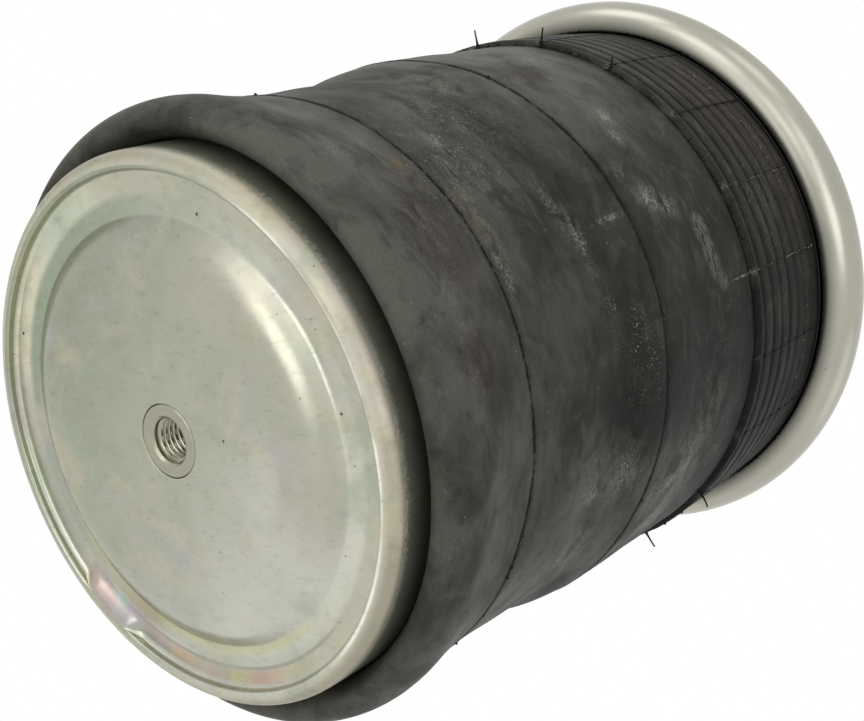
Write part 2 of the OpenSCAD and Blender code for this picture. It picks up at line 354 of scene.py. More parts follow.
class Value:
    """Output of a shader node; arithmetic with it adds nodes to the same tree."""

    def __init__(self, node, output=0):
        self.tree = node.id_data
        self.socket = node.outputs[output]

    def calculate(self, operation, *others, kind="Math", output=0):
        """Arithmetic on this value and others."""
        node = add(self.tree, kind, {"operation": operation})
        for socket, value in zip(node.inputs, (self, *others)):
            connect(socket, value)
        return Value(node, output)

    def __add__(self, other):
        return self.calculate("ADD", other)

    def __sub__(self, other):
        return self.calculate("SUBTRACT", other)

    def __mul__(self, other):
        return self.calculate("MULTIPLY", other)

    def __truediv__(self, other):
        return self.calculate("DIVIDE", other)

    def __abs__(self):
        return self.calculate("ABSOLUTE")

    def at_least(self, other):
        """The higher of two values."""
        return self.calculate("MAXIMUM", other)

    def at_most(self, other):
        """The lower of two values."""
        return self.calculate("MINIMUM", other)

    def reach(self):
        """Length of a vector."""
        return self.calculate("LENGTH", kind="VectorMath", output="Value")

    def spread(self, low=0.3, high=0.7, to_low=0.0, to_high=1.0):
        """The range from low to high, stretched, with soft ends."""
        return Value(add(self.tree, "MapRange", {"interpolation_type": "SMOOTHSTEP"}, Value=self,
                         From_Min=low, From_Max=high, To_Min=to_low, To_Max=to_high))


def mix(below, above, amount, mode="MIX"):
    """Lays one colour over another by an amount."""
    node = add(amount.tree, "Mix", {"data_type": "RGBA", "blend_type": mode})
    for index, value in ((0, amount), (6, below), (7, above)):
        connect(node.inputs[index], value)
    return Value(node, 2)


def darken(below, tone, amount):
    """Multiplies a colour by a tone, by an amount."""
    return mix(below, tone, amount, "MULTIPLY")


def mix_shaders(amount, first, second):
    """Goes from one shader to another by an amount."""
    node = add(amount.tree, "MixShader", Fac=amount)
    connect(node.inputs[1], first)
    connect(node.inputs[2], second)
    return Value(node)


def attribute(tree, name, output="Fac"):
    """Values that a mesh stores for its points."""
    return Value(add(tree, "Attribute", {"attribute_name": name}), output)


def stretched(place, scale, turn=(0, 0, 0)):
    """Coordinates scaled by axis, which stretches the pattern that they carry."""
    return Value(add(place.tree, "Mapping", Vector=place, Scale=scale, Rotation=turn))


def noise(place, scale, detail=3.0, roughness=0.5, distortion=0.0):
    """Cloudy pattern from 0 to 1."""
    return Value(add(place.tree, "TexNoise", Vector=place, Scale=scale, Detail=detail,
                     Roughness=roughness, Distortion=distortion), "Fac")


def uneven(place, scale, detail, roughness):
    """Cloudy pattern round 0, which makes a border ragged."""
    return noise(place, scale, detail, roughness) - 0.5


def dots(place, scale, size, share):
    """Scattered small dots: 1 inside a dot; share of the cells hold one."""
    cells = add(place.tree, "TexVoronoi", Vector=place, Scale=scale)
    inside = Value(cells, "Distance").spread(size, size * 0.5)
    chosen = Value(add(place.tree, "SeparateColor", Color=Value(cells, "Color")))
    return inside * chosen.calculate("LESS_THAN", share)


def scratches(place, turn, amount):
    """Fine straight scratches in one direction."""
    lines = noise(stretched(place, (30, 1400, 30), (0, 0, turn)), 1, 2, 0.6, 0.3)
    return lines.spread(0.70 - amount, 0.76 - amount) * noise(place, 45, 2).spread(0.5, 0.62)


def new_material(name, stored=True):
    """Empty material, and the places that its patterns follow: stored at rest or the object's own."""
    material = bpy.data.materials.new(name)
    material.use_nodes = True
    tree = material.node_tree
    tree.nodes.clear()
    if stored:
        return material, attribute(tree, "rest_place", "Vector")
    return material, Value(add(tree, "TexCoord"), "Object")


def close_material(height, depth, **sockets):
    """Principled surface with a bump of a given depth in metres."""
    bump = Value(add(height.tree, "Bump", Strength=1.0, Distance=depth, Height=height))
    surface = Value(add(height.tree, "BsdfPrincipled", Normal=bump, **sockets))
    add(height.tree, "OutputMaterial", Surface=surface)


def wear(piece, material):
    """Gives a piece its material."""
    piece.data.materials.clear()
    piece.data.materials.append(material)


# Materials

def rubber_base(look, place, clouds, smear):
    """Ground colour of the rubber: bloom and painted light and shade by place, clouds, smears and fine
    grain.
    """
    amount = attribute(place.tree, "bloom") * clouds.spread(0.3, 0.7, 0.3, 1.35)
    base = mix(look.rubber_dark, look.rubber_pale, amount)
    # Where bloom and painted light run high, the rubber turns dust-pale: partly dust, partly painted light.
    base = mix(base, look.dust, (amount - 1.0) * 0.9)
    base = mix(base, look.rubber_brown, attribute(place.tree, "brown") * 0.8)
    base = mix(base, look.dust, smear.spread(0.5, 0.7, 0, 0.4))
    base = darken(base, grey(0.5), smear.spread(0.48, 0.3, 0, 0.7))
    return darken(base, grey(0.6), noise(place, 1300, 2, 0.6).spread(0.62, 0.36, 0, 0.4))


def rubber_scuffs(place, smear):
    """Pale marks on the rubber: scuffs, combed strokes, clustered specks and stray ones."""
    tree = place.tree
    fine = noise(stretched(place, (800, 800, 1500)), 1, 4, 0.75, 0.3)
    scuffed = smear.spread(0.36, 0.56) * attribute(tree, "scuff") * fine.spread(0.46, 0.6, 0.1, 1)
    height = Value(add(tree, "SeparateXYZ", Vector=place), "Z")
    wave = (height * 6900.0 + noise(place, 45, 1) * 2.5).calculate("SINE")
    broken = noise(stretched(place, (260, 260, 700)), 1, 2).spread(0.36, 0.54)
    combed = wave.spread(0.3, 0.95) * (broken * attribute(tree, "comb").spread(0.15, 0.6))
    clusters = noise(place, 150, 3, 0.6).spread(0.42, 0.55) * attribute(tree, "speck")
    specks = dots(place, 340, 0.2, 0.3).at_least(noise(place, 1250, 3, 0.6).spread(0.58, 0.66))
    stray = dots(place, 190, 0.075, 0.5) * 0.4
    pale = (combed * 1.1).at_least(scuffed).at_least(specks * clusters).at_least(stray)
    return pale.at_most(1.0)


def rubber_lines(place):
    """Black painted shadow in the mould lines with ragged borders, and lines between segments: dark painted
    shadow, or dotted and pale.
    """
    tree = place.tree
    ragged = uneven(place, 560, 5, 0.72)
    half_w = attribute(tree, "line_width") * noise(place, 90, 3).spread(0.38, 0.62, 0.55, 1.5)
    away = abs(attribute(tree, "line_gap") + ragged * 5.5 * half_w) / half_w
    black = away.spread(1.25, 0.75).at_least(away.spread(3.6, 0.8, 0, 0.3))
    beside_edge = attribute(tree, "edge_gap") + ragged * 0.9
    on_edge = beside_edge.spread(0.5, 0.15)
    trench = abs(beside_edge - 0.95).spread(0.45, 0.1)
    tone = attribute(tree, "edge_tone")
    pale = on_edge * (noise(place, 480, 2).spread(0.42, 0.56) * tone.at_least(0.0))
    dark = (on_edge * (tone * -1.0).at_least(0.0)).at_least(trench * (abs(tone) * 0.6))
    return black.at_least(dark), pale


def moulded_rubber(look):
    """Matt black rubber with bloom and painted light, smears, pale scuffs, painted shade in grooves and the
    crimp, and ragged mould lines.
    """
    material, place = new_material("moulded_rubber")
    clouds = noise(stretched(place, (30, 30, 44)), 1, 5, 0.6, 0.4)
    smear = noise(stretched(place, (75, 75, 135)), 1, 5, 0.58, 1.0)
    base = rubber_base(look, place, clouds, smear)
    base = mix(base, look.scuff, rubber_scuffs(place, smear))
    base = mix(base, look.stain, attribute(place.tree, "stain") * smear.spread(0.35, 0.6))
    # Painted shade in the grooves, in the crimp gap and low on the near side, with ragged borders.
    crease = attribute(place.tree, "crease")
    ragged_shade = crease + crease * (uneven(place, 420, 4, 0.7) * 0.9)
    base = mix(base, look.crease, ragged_shade.at_most(1.0))
    # Painted shadow of the flash in the mould lines and beside segment lines, and pale dust on some segment
    # lines.
    dark, pale = rubber_lines(place)
    base = mix(mix(base, look.crease, dark), look.scuff, pale)
    height = noise(place, 1500, 3, 0.6) * 0.25 + (clouds * 0.8 + smear)
    close_material(height, 0.0003, Base_Color=base, Specular_IOR_Level=0.13,
                   Roughness=clouds.spread(0.3, 0.75, 0.62, 0.5))
    return material


def bumper_rubber():
    """Denser black rubber of the bump stop and the seal."""
    material, place = new_material("dense_rubber", stored=False)
    base = mix(shade(40, 40, 40), shade(58, 57, 55), noise(place, 40, 3).spread(0.35, 0.7))
    close_material(noise(place, 900, 4, 0.6), 0.0001, Base_Color=base, Roughness=0.6)
    return material


def zinc_plate(look):
    """Passivated zinc over drawn sheet: cloudy tint, smudges, rubbed-off rubber with painted shade on the
    wall, fine scratches and dark specks.
    """
    material, place = new_material("zinc_plate")
    tree = place.tree
    clouds = noise(place, 34, 4, 0.6, 0.5)
    blotches = noise(place, 90, 6, 0.72, 0.2)
    base = attribute(tree, "tint", "Color")
    base = darken(base, (0.86, 0.90, 0.84, 1), clouds.spread(0.3, 0.7, 0, 0.5))
    for scale, colour in ((19, (172, 170, 168)), (24, (190, 183, 158)), (29, (160, 168, 150))):
        stained = noise(place, scale, 4, 0.65, 0.5).spread(0.48, 0.66, 0, 0.55)
        base = mix(base, shade(*colour), stained)
    base = darken(base, (0.76, 0.755, 0.71, 1), blotches.spread(0.46, 0.7, 0, 0.3))
    smudge = noise(stretched(place, (170, 420, 170), (0, 0, 1.1)), 1, 5, 0.75, 0.2)
    base = darken(base, (0.72, 0.71, 0.66, 1), smudge.spread(0.52, 0.7, 0, 0.5))
    torn = uneven(place, 750, 5, 0.72) * noise(place, 55, 2).spread(0.4, 0.62, 0.35, 1.5)
    # Rubber rubbed off on the wall, and painted shade where the wall mirrors the dark lobe, with a ragged
    # border.
    border = attribute(tree, "rubbed") + torn
    base = mix(base, shade(98, 101, 85), border.spread(0.3, 0.78, 0, 0.84))
    marks = scratches(place, 0.5, 0.0).at_least(scratches(place, 2.1, 0.01))
    base = mix(base, look.scratch, marks * 0.22)
    specks = dots(place, 62, 0.05, 0.4).at_least(dots(place, 160, 0.07, 0.3) * 0.7)
    base = mix(base, shade(70, 70, 62), specks)
    rough = blotches.spread(0.35, 0.7, 0.27, 0.36) + attribute(tree, "dull") * 0.24
    close_material(clouds + marks * -0.1, 0.00016, Base_Color=base, Metallic=1.0, Roughness=rough)
    return material


def satin_plate(look):
    """Satin galvanised steel with faint drawing lines round the axis, and grime with painted shade in the
    crimp, where the roll mirrors the dark rubber.
    """
    material, place = new_material("satin_plate")
    clouds = noise(place, 28, 4, 0.6, 0.4)
    drawn = noise(stretched(place, (22, 22, 900)), 1, 3, 0.6)
    grime = attribute(place.tree, "grime")
    base = mix(look.satin, look.satin_warm, clouds.spread())
    base = darken(base, (0.82, 0.82, 0.8, 1), drawn.spread(0.4, 0.75, 0, 0.15))
    # Grime, and painted shade where the roll mirrors the dark rubber; black at the ragged edge of the crimp.
    base = mix(base, shade(30, 30, 26), grime)
    torn = grime + uneven(place, 620, 4, 0.7) * 0.6
    base = mix(base, shade(22, 22, 19), torn.spread(0.8, 0.95))
    base = mix(base, shade(90, 88, 80), dots(place, 120, 0.05, 0.2))
    close_material(clouds, 0.00008, Base_Color=base, Metallic=1.0,
                   Roughness=clouds.spread(0.3, 0.7, 0.27, 0.31))
    return material


def turned_steel(look):
    """Plated steel with fine turning rings."""
    material, place = new_material("turned_steel")
    from_axis = place.calculate("MULTIPLY", (1, 1, 0), kind="VectorMath").reach()
    rings = Value(add(place.tree, "TexNoise", {"noise_dimensions": "1D"}, W=from_axis, Scale=2600.0,
                      Detail=2.0, Roughness=0.6), "Fac")
    clouds = noise(place, 160, 3, 0.6)
    base = mix(look.turned, look.turned_warm, clouds.spread())
    base = mix(base, shade(138, 137, 120), rings.spread(0.35, 0.7, 0, 0.4))
    close_material(rings + clouds * 0.4, 0.00005, Base_Color=base, Metallic=1.0,
                   Roughness=clouds.spread(0.3, 0.7, 0.22, 0.32))
    return material


def oiled_steel(name, pale, dark):
    """Bare steel under a film of oil, or wire with a thin coat."""
    material, place = new_material(name, stored=False)
    patches = noise(place, 120, 5, 0.65, 0.5)
    base = mix(dark, pale, patches.spread(0.35, 0.65))
    close_material(patches, 0.0001, Base_Color=base, Metallic=1.0,
                   Roughness=patches.spread(0.3, 0.7, 0.35, 0.5))
    return material


# Settings of the sidebar

def colour_setting(title, what, red, green, blue):
    """Colour picker that starts at a colour as a screen shows it."""
    return bpy.props.FloatVectorProperty(name=title, description=what, subtype="COLOR", size=4,
                                         min=0, max=1, default=shade(red, green, blue))


def length_setting(title, what, millimetres):
    """Length in the scene's units."""
    return bpy.props.FloatProperty(name=title, description=what, unit="LENGTH", subtype="DISTANCE",
                                   precision=4, default=millimetres * MM)


class BellowsSizes(bpy.types.PropertyGroup):
    """Sizes that the frame leaves open."""

    wall: length_setting("Rubber wall", "Thickness of the rubber", 4.4)
    flash: length_setting("Mould flash", "Height of the thin flash on the mould lines", 0.45)
    groove: length_setting("Groove depth", "Depth of the grooves round the neck", 0.7)
    sag: length_setting("Lobe sag", "How far the lobe leans up on one side", 2.3)
    hair: length_setting("Vent hair", "Length of the longest vent hairs", 7.0)
    cup_sheet: length_setting("Piston sheet", "Thickness of the drawn piston", 2.5)
    plate_sheet: length_setting("Plate sheet", "Thickness of the bead plate", 3.0)
    lower_pitch: length_setting("Lower thread pitch", "Pitch of the M16 thread", 2.0)
    stud_pitch: length_setting("Stud pitch", "Pitch of the M12 studs", 1.75)
    inlet_pitch: length_setting("Inlet pitch", "Pitch of the M22 air inlet", 1.5)


class BellowsColours(bpy.types.PropertyGroup):
    """Colours of rubber and plating."""

    rubber_dark: colour_setting("Rubber, dark", "Darker parts of the rubber", 30, 30, 27)
    # Pale end of the bloom and of the painted light on the rubber.
    rubber_pale: colour_setting("Rubber, pale", "Bloom on the rubber", 71, 70, 63)
    rubber_brown: colour_setting("Rubber, brown", "Bloom near the crimp and the lobe", 56, 48, 46)
    dust: colour_setting("Dust", "Dusty smears on the rubber", 92, 91, 84)
    # Colour of painted shade: grooves, crimp gap, mould lines and the lower near side.
    crease: colour_setting("Crease", "Dirt in grooves and along mould lines", 14, 14, 13)
    scuff: colour_setting("Scuff", "Pale scuffs and specks", 158, 156, 146)
    stain: colour_setting("Stain", "Yellow-brown stain", 112, 100, 66)
    zinc: colour_setting("Zinc", "Flat of the plated piston", 172, 173, 156)
    # Painted shade of the channel's far side.
    zinc_shaded: colour_setting("Zinc, dull", "Shaded side of the channel", 153, 163, 142)
    zinc_yellow: colour_setting("Zinc, yellow", "Yellow passivation at the channel's foot", 192, 188, 144)
    zinc_blush: colour_setting("Zinc, blush", "Pink ring beside the rolled edge", 226, 219, 196)
    scratch: colour_setting("Scratch", "Bright scratches in the plating", 206, 206, 194)
    satin: colour_setting("Satin plate", "Bead plate", 166, 165, 153)
    satin_warm: colour_setting("Satin plate, warm", "Warmer clouds of the bead plate", 174, 171, 158)
    turned: colour_setting("Turned steel", "Insert, studs and bush", 160, 161, 142)
    turned_warm: colour_setting("Turned steel, warm", "Warmer clouds of turned steel", 169, 166, 147)


class BellowsStudio(bpy.types.PropertyGroup):
    """Light and camera."""

    lens: bpy.props.FloatProperty(name="Lens", description="Focal length for a 36 mm sensor",
                                  unit="CAMERA", default=63.165)
    key: bpy.props.FloatProperty(name="Key light", description="Brightness of the key softbox",
                                 default=1.9, min=0)
    fill: bpy.props.FloatProperty(name="Fill light", description="Brightness of the other softboxes",
                                  default=1.3, min=0)
    room: bpy.props.FloatProperty(name="Room light", description="Light of the white room on matt parts",
                                  default=0.5, min=0)


# Rubber

def segment_steps(angles):
    """Height by which the grooves of each mould segment miss their neighbours', in millimetres."""
    rng = np.random.default_rng(7)
    steps = rng.uniform(-0.35, 0.35, VENT_COUNT)
    leans = rng.uniform(-0.5, 0.5, VENT_COUNT)
    along = (np.degrees(angles) - VENT_FIRST) / VENT_STEP
    segment = np.floor(along).astype(int) % VENT_COUNT
    return steps[segment] + leans[segment] * (along % 1 - 0.5)


def wall_shift(angles, sag):
    """How far mould lines and lobe wander from their height: (heights, one row of shifts each)."""
    def wave(size, order, degrees):
        return size * np.cos(order * (angles - math.radians(degrees)))
    lower, upper, seam = MOULD_LINES
    first = wave(3.4, 1, 115) + wave(1.0, 3, 160)
    second = wave(3.0, 1, 120) + wave(1.0, 3, 162)
    third = wave(1.0, 1, 140)
    stations = [(LOBE_TOP, wave(sag, 1, 0)), (lower - 1.5, first), (lower + 1.5, first),
                (upper - 1.5, second), (upper + 1.5, second), (seam - 3, third), (seam + 3, third),
                (GROOVES[0] - 1.2, segment_steps(angles)), (GROOVES[-1] + 1.2, segment_steps(angles)),
                (CRIMP_Z - 3, 0 * angles)]
    return [z for z, _ in stations], np.array([shift for _, shift in stations])


def wall_heights():
    """Heights of the rows of the outer wall, close together at mould lines and grooves."""
    near_line = (-3, -2, -1.3, -0.8, -0.3, 0.2, 0.8, 1.2, 1.8, 2.8, 3.6)
    near_groove = (-1.6, -1.1, -0.6, -0.2, 0.2, 0.6, 1.1, 1.6)
    close = [z + d for z in MOULD_LINES for d in near_line]
    close += [z + d for z in GROOVES for d in near_groove]
    close += [CRIMP_Z - 3.5, CRIMP_Z - 1.8, CRIMP_Z - 0.8, CRIMP_Z + 2.4]
    plain = [z for z in np.arange(LOBE_TOP + 0.8, CRIMP_Z - 4.5, 2.1)
             if min(abs(z - c) for c in close) > 0.9]
    return np.array(sorted(close + plain))


def wall_line():
    """Radius of the outer wall by height: waist on the piston, belly, step and ribbed neck."""
    neck_r = 113.5
    below = smooth([(LOBE_R - 0.9, LOBE_TOP), (LOBE_R - 2.7, 45), (109.5, 61), (109.05, 88),
                    (109.2, 113), (112.2, 128), (113.3, 145), (112.5, 175), (111.9, 197),
                    (111.8, SEAM_Z - 3)], 8)
    step = [(111.7, SEAM_Z - 1.3), (111.3, SEAM_Z - 0.8), (111.2, SEAM_Z + 0.2), (112.6, SEAM_Z + 0.8),
            (neck_r, SEAM_Z + 1.2), (neck_r + 0.4, SEAM_Z + 1.8), (neck_r, SEAM_Z + 2.8)]
    crimp_r = ROLL_MID[0] - 0.4
    neck = [(neck_r - (neck_r - crimp_r) * t ** 2, SEAM_Z + 5 + (CRIMP_Z - 3.5 - SEAM_Z - 5) * t)
            for t in np.linspace(0, 1, 12)]
    line = below + step + neck + [(crimp_r - 0.5, CRIMP_Z - 1.2), (crimp_r - 0.7, CRIMP_Z + 2.4)]
    return np.array(line)


def tooth(distance, half_w):
    """Triangle of height 1 over a half width."""
    return np.clip(1 - np.abs(distance) / half_w, 0, 1)


def flash_heights(columns, seed):
    """Ragged height of the flash along a mould line, from 0 to 1, with a few tall nibs."""
    rng = np.random.default_rng(seed)
    ragged = np.convolve(rng.random(columns + 4), np.ones(5) / 5, "valid")
    nibs = np.where(rng.random(columns) > 0.985, rng.uniform(0.8, 2.2, columns), 0)
    return 0.25 + 0.75 * ragged ** 2 + nibs


# Marks on the rubber: (height, angle, half height, half width, strength)
SCUFFS = [
    (157, 154.5, 6, 5, 1.3), (165, 157, 5, 4, 1.2), (128, 155.8, 7, 0.8, 1.3), (148, 147.7, 3, 3, 1.0),
    (168.8, 135.5, 4, 5, 1.0), (163.6, 140.7, 3, 4, 0.9), (150.8, 120.2, 5, 4, 0.5),
    (111.5, 158, 2.5, 11, 1.0), (106, 150, 3, 12, 0.5), (66, 157, 2.5, 10, 0.9), (69, 148, 2.2, 18, 0.6),
    (74, 137, 2.2, 10, 0.6), (80, 130, 2.5, 6, 0.9), (30.7, 119.6, 2, 7, 0.7), (34.5, 127.2, 2, 7, 0.7),
    (49.3, 129.4, 2, 8, 0.6), (44, 145, 5, 20, 0.3), (38, 160, 5, 18, 0.28), (34, 172, 4, 14, 0.3),
    (165, 211, 13, 16, 0.7), (103, 206, 5, 5, 1.2), (158, 213, 5, 6, 1.1), (176, 200, 10, 14, 0.8),
    (188, 210, 8, 12, 0.7), (154, 156, 4, 1.2, 0.5), (95, 120, 12, 14, 0.35), (120, 112, 10, 16, 0.4),
    (178, 112, 9, 9, 0.55), (120, 204, 9, 12, 0.7), (107, 222, 8, 10, 0.8), (150, 214, 9, 12, 0.6),
    (165, 226, 10, 9, 0.8), (176, 219, 8, 8, 0.6), (84, 140, 16, 20, 0.25), (100, 200, 20, 12, 0.3),
    (160, 40, 12, 20, 0.5), (90, 300, 20, 22, 0.4), (175, 270, 10, 18, 0.5), (120, 20, 16, 16, 0.35),
    (45, 250, 6, 16, 0.4), (190, 330, 8, 14, 0.5),
] + [(SEAM_Z + 1.3, VENT_FIRST + VENT_STEP * k, 0.8, 1.0, 1.3) for k in range(VENT_COUNT)]
SPECKLES = [
    (131, 183, 8, 7, 1.3), (186, 187.5, 6, 4, 1.3), (117, 172, 6, 8, 1.0), (122, 177, 8, 8, 1.0),
    (127.8, 177, 7, 7, 0.9), (134, 185.4, 6, 6, 0.9), (126.8, 190.2, 8, 7, 1.0),
    (116.3, 204.8, 9, 9, 0.9), (122.1, 203.7, 8, 9, 0.9), (150.5, 214.2, 9, 8, 0.7),
    (187, 178, 6, 5, 0.8), (84, 132, 20, 20, 0.8), (60, 140, 12, 20, 0.6), (104, 124, 16, 20, 0.8),
    (165, 200, 20, 14, 0.35), (140, 60, 24, 26, 0.4), (90, 330, 22, 22, 0.35), (160, 280, 20, 24, 0.4),
    (228, 160, 14, 40, 0.3), (253, 140, 3, 60, 1.3), (253, 200, 3, 30, 1.0), (230, 158, 18, 16, 0.5),
]
COMBS = [(181.5, 163.5, 5, 7, 1.0), (182.5, 169.5, 5, 9, 1.0), (186.8, 174.5, 4, 5, 0.7),
         (204, 175.5, 5, 1.0, 0.7), (150, 300, 7, 9, 0.7)]
STAINS = [(54.5, 134.3, 3, 7, 0.7), (66, 148, 3, 12, 0.2), (120, 320, 5, 12, 0.5)]
BROWNS = [(46, 150, 9, 24, 0.9), (38, 170, 8, 14, 0.7), (165, 205, 14, 16, 0.7), (256, 150, 8, 70, 1.0),
          (256, 330, 8, 160, 0.8), (48, 100, 9, 22, 0.9), (200, 205, 10, 20, 0.7), (238, 140, 16, 50, 0.6),
          (150, 200, 16, 16, 0.5), (160, 118, 12, 10, 0.6)]
MARKS = {"scuff": SCUFFS, "speck": SPECKLES, "comb": COMBS, "stain": STAINS, "brown": BROWNS}


def marks(heights, angles, places):
    """Soft spots at a list of places."""
    total = np.zeros(np.broadcast(heights, angles).shape)
    for z, degrees, half_z, half_w, strength in places:
        across = turn_from(angles, degrees) / 360 * TURN * LOBE_R / half_w
        total = np.maximum(total, strength * np.exp(-((heights - z) / half_z) ** 2 - across ** 2))
    return total


def rubber_rows(wall):
    """Outline of lobe, wall and neck: (radius, height, how much it follows the sag, is outside)."""
    middle = (LOBE_INNER_R + (LOBE_R - LOBE_INNER_R) / 2, LOBE_Z)
    half_w = (LOBE_R - LOBE_INNER_R) / 2
    drop = LOBE_Z - LOBE_LOW + 2
    strip = np.linspace(LOBE_TOP, LOBE_Z, 5)
    follow = np.linspace(0, 1, 5)
    rows = [(LOBE_INNER_R, z, f, 0) for z, f in zip(strip, follow)]
    rows += [(r, z, 1, 1) for r, z in oval(middle, half_w, drop, -180, 0, 26)[1:]]
    rows += [(LOBE_R - 0.28, LOBE_Z + 3.4, 1, 1)]
    line = wall_line()
    heights = wall_heights()
    rows += [(r, z, 1, 1) for r, z in zip(np.interp(heights, line[:, 1], line[:, 0]), heights)]
    inside = np.arange(CRIMP_Z + 2.4, LOBE_TOP, -5.5)
    rows += [(np.interp(z, line[:, 1], line[:, 0]) - wall, z, 1, 0) for z in inside]
    rows += [(r, z, 1, 0) for r, z in oval(middle, half_w - wall, drop - wall, 0, -180, 16)]
    rows += [(LOBE_INNER_R + wall, z, f, 0) for z, f in zip(strip[::-1][1:], follow[::-1][1:])]
    return np.array(rows)


# Tone of single lines between the mould's segments, by angle: 1 is pale, -1 is dark painted shadow
EDGE_TONES = {175.5: 1.0, 157.5: 0.35, 139.5: -0.9, 121.5: -0.8, 193.5: -0.7, 211.5: -0.5, 229.5: -0.8,
              103.5: -0.5}


def edge_lines(heights, angles):
    """Lines between the mould's segments: (distance in millimetres, tone from dark painted shadow -1 to pale
    1).
    """
    rng = np.random.default_rng(5)
    along = (np.degrees(angles) - VENT_FIRST) / VENT_STEP
    nearest = np.round(along).astype(int) % VENT_COUNT
    distance = np.abs(along - np.round(along)) * VENT_STEP / 360 * TURN * LOBE_R
    tones = rng.uniform(-0.8, 0.3, VENT_COUNT)
    for degrees, tone in EDGE_TONES.items():
        tones[round((degrees - VENT_FIRST) / VENT_STEP)] = tone
    tone = tones[nearest]
    on_neck_part = (heights > SEAM_Z + 0.8) & (heights < CRIMP_Z - 2)
    below_line = window(heights, SEAM_Z - 14, SEAM_Z, 2) * (tone > 0.9) * 0.7
    return distance + 0 * heights, np.where(on_neck_part, tone, below_line)


def shaded_lower_side(height, angles):
    """1 low on the near side, where belly and neck get painted shade; less in the dusty patches."""
    dusty = sector(angles, 215, -13, 16, 10) * window(height, 88, 176, 16)
    return sector(angles, 222, -48, 50, 44) * ease((height - 75) / 60) * (1 - 0.9 * dusty)


def rubber_bloom_and_light(height, angles):
    """Pale bloom by height, less where painted shade lies low on the near side, and more in five places; two
    are painted light: a sheen low on the near edge and the lit top of the belly.
    """
    bloom = np.interp(height, [30, 55, 130, 200, SEAM_Z, SEAM_Z + 4, CRIMP_Z],
                      [1.3, 0.98, 0.66, 0.55, 0.5, 0.34, 0.5]) * (1 - 0.95 * shaded_lower_side(height, angles))
    for amount, degrees, before, after, soft, by_height in (
            (1.0, 150, -45, 22, 30, ease((62 - height) / 24)),
            (0.8, 214, -26, 60, 30, ease((70 - height) / 30)),
            (0.7, 214, -13, 16, 12, window(height, 88, 176, 20)),
            # Painted light: a sheen low on the near edge of the belly.
            (0.9, 230, -10, 20, 14, window(height, 50, 170, 30)),
            # Painted light on the lit top of the belly.
            (1.6, 118, -40, 18, 24, window(height, 130, 203, 40))):
        bloom = bloom + amount * sector(angles, degrees, before, after, soft) * by_height
    return bloom


def paint_rubber(piece, height, angles, shown):
    """Stores for the rubber's material where its lines, marks, bloom and painted light lie."""
    heights = height + 0 * angles
    gaps = np.stack([np.abs(height - line) for line in MOULD_LINES])
    gaps[2] *= np.where(height > SEAM_Z, 2.5, 1)
    paint(piece, "line_gap", gaps.min(axis=0) + 0 * angles)
    paint(piece, "line_width", np.where(gaps.argmin(axis=0) < 2, 0.62,
                                        0.75 + 0.5 * sector(angles, 100, -32, 26, 20)))
    distance, tone = edge_lines(heights, angles)
    paint(piece, "edge_gap", distance)
    paint(piece, "edge_tone", tone * shown)
    paint(piece, "bloom", rubber_bloom_and_light(height, angles))
    for name, places in MARKS.items():
        paint(piece, name, marks(heights, angles, places) * shown)


def mould_relief(height, angles, sizes):
    """Flash on the mould lines and grooves round the neck: (relief, painted shade in the grooves)."""
    relief = np.zeros(np.broadcast(height, angles).shape)
    crease = np.zeros_like(relief)
    for k, line in enumerate(MOULD_LINES):
        away = height - line
        flash = flash_heights(WALL_COLUMNS, 20 + k) * sizes.flash / MM
        if line < SEAM_Z:
            beside_flash = tooth(away - 1.0, 0.5) + tooth(away + 0.8, 0.7)
            relief += tooth(away - 0.2, 0.5) * flash - 0.25 * beside_flash
        else:
            relief += tooth(away - 1.8, 0.7) * (flash - 0.2)
    for k, line in enumerate(GROOVES):
        depth = sizes.groove / MM * (1 - 0.06 * k) * (1 + ripple(angles, 0.2, range(3, 14), 40 + k))
        valley = np.cos(np.clip(np.abs(height - line) / 1.7, 0, 1) * math.pi / 2) ** 2
        relief -= valley * depth
        # Painted shade, darkest at the bottom of each groove.
        crease = np.maximum(crease, valley ** 1.2 * (1 - 0.05 * k))
    return relief, crease


def build_rubber_wall(sizes):
    """Lobe, outer wall and ribbed neck as one moulding."""
    rows = rubber_rows(sizes.wall / MM)
    radius, height, follow, outside = [rows[:, k:k + 1] for k in range(4)]
    angles = round_angles(WALL_COLUMNS)
    shift_z, shifts = wall_shift(angles, sizes.sag / MM)
    weights = np.array([[np.interp(z, shift_z, unit) for unit in np.eye(len(shift_z))]
                        for z in height[:, 0]])
    heights = height + follow * (weights @ shifts)
    relief, crease = mould_relief(height, angles, sizes)
    # Painted shade in the gap under the crimp, inside it, and low on the near side.
    near_crimp = ease((height - CRIMP_Z + 4.6) / 2.4)
    crease = np.maximum(crease, near_crimp * (0.75 + ripple(angles, 0.2, range(3, 40, 3), 61)))
    crease = np.maximum(crease, height > CRIMP_Z - 1)
    crease = np.maximum(crease, 0.5 * shaded_lower_side(height, angles))
    sway = ripple(angles, 0.22, range(2, 9), 3) * window(height, 70, 200, 60)
    sway += ripple(angles + height / 60, 0.14, range(5, 16), 4) * window(height, 50, 205, 30)
    rub = ripple(angles, 0.25, range(2, 6), 5) * window(height, 20, 52, 20)
    radii = radius + outside * (relief + sway) + rub * outside
    piece = round_piece("bellows_rubber", radii, heights, sharp=60)
    shown = outside * np.ones_like(heights)
    paint(piece, "crease", crease * shown)
    paint_rubber(piece, height, angles, shown)
    return piece


# What the rubber's material reads where there is no mark and no line
RUBBER_PAINTS = {"crease": 0, "line_gap": 6, "line_width": 0.4, "edge_gap": 9, "edge_tone": 0, "bloom": 0.6,
                 "scuff": 0, "speck": 0, "comb": 0, "stain": 0, "brown": 0}


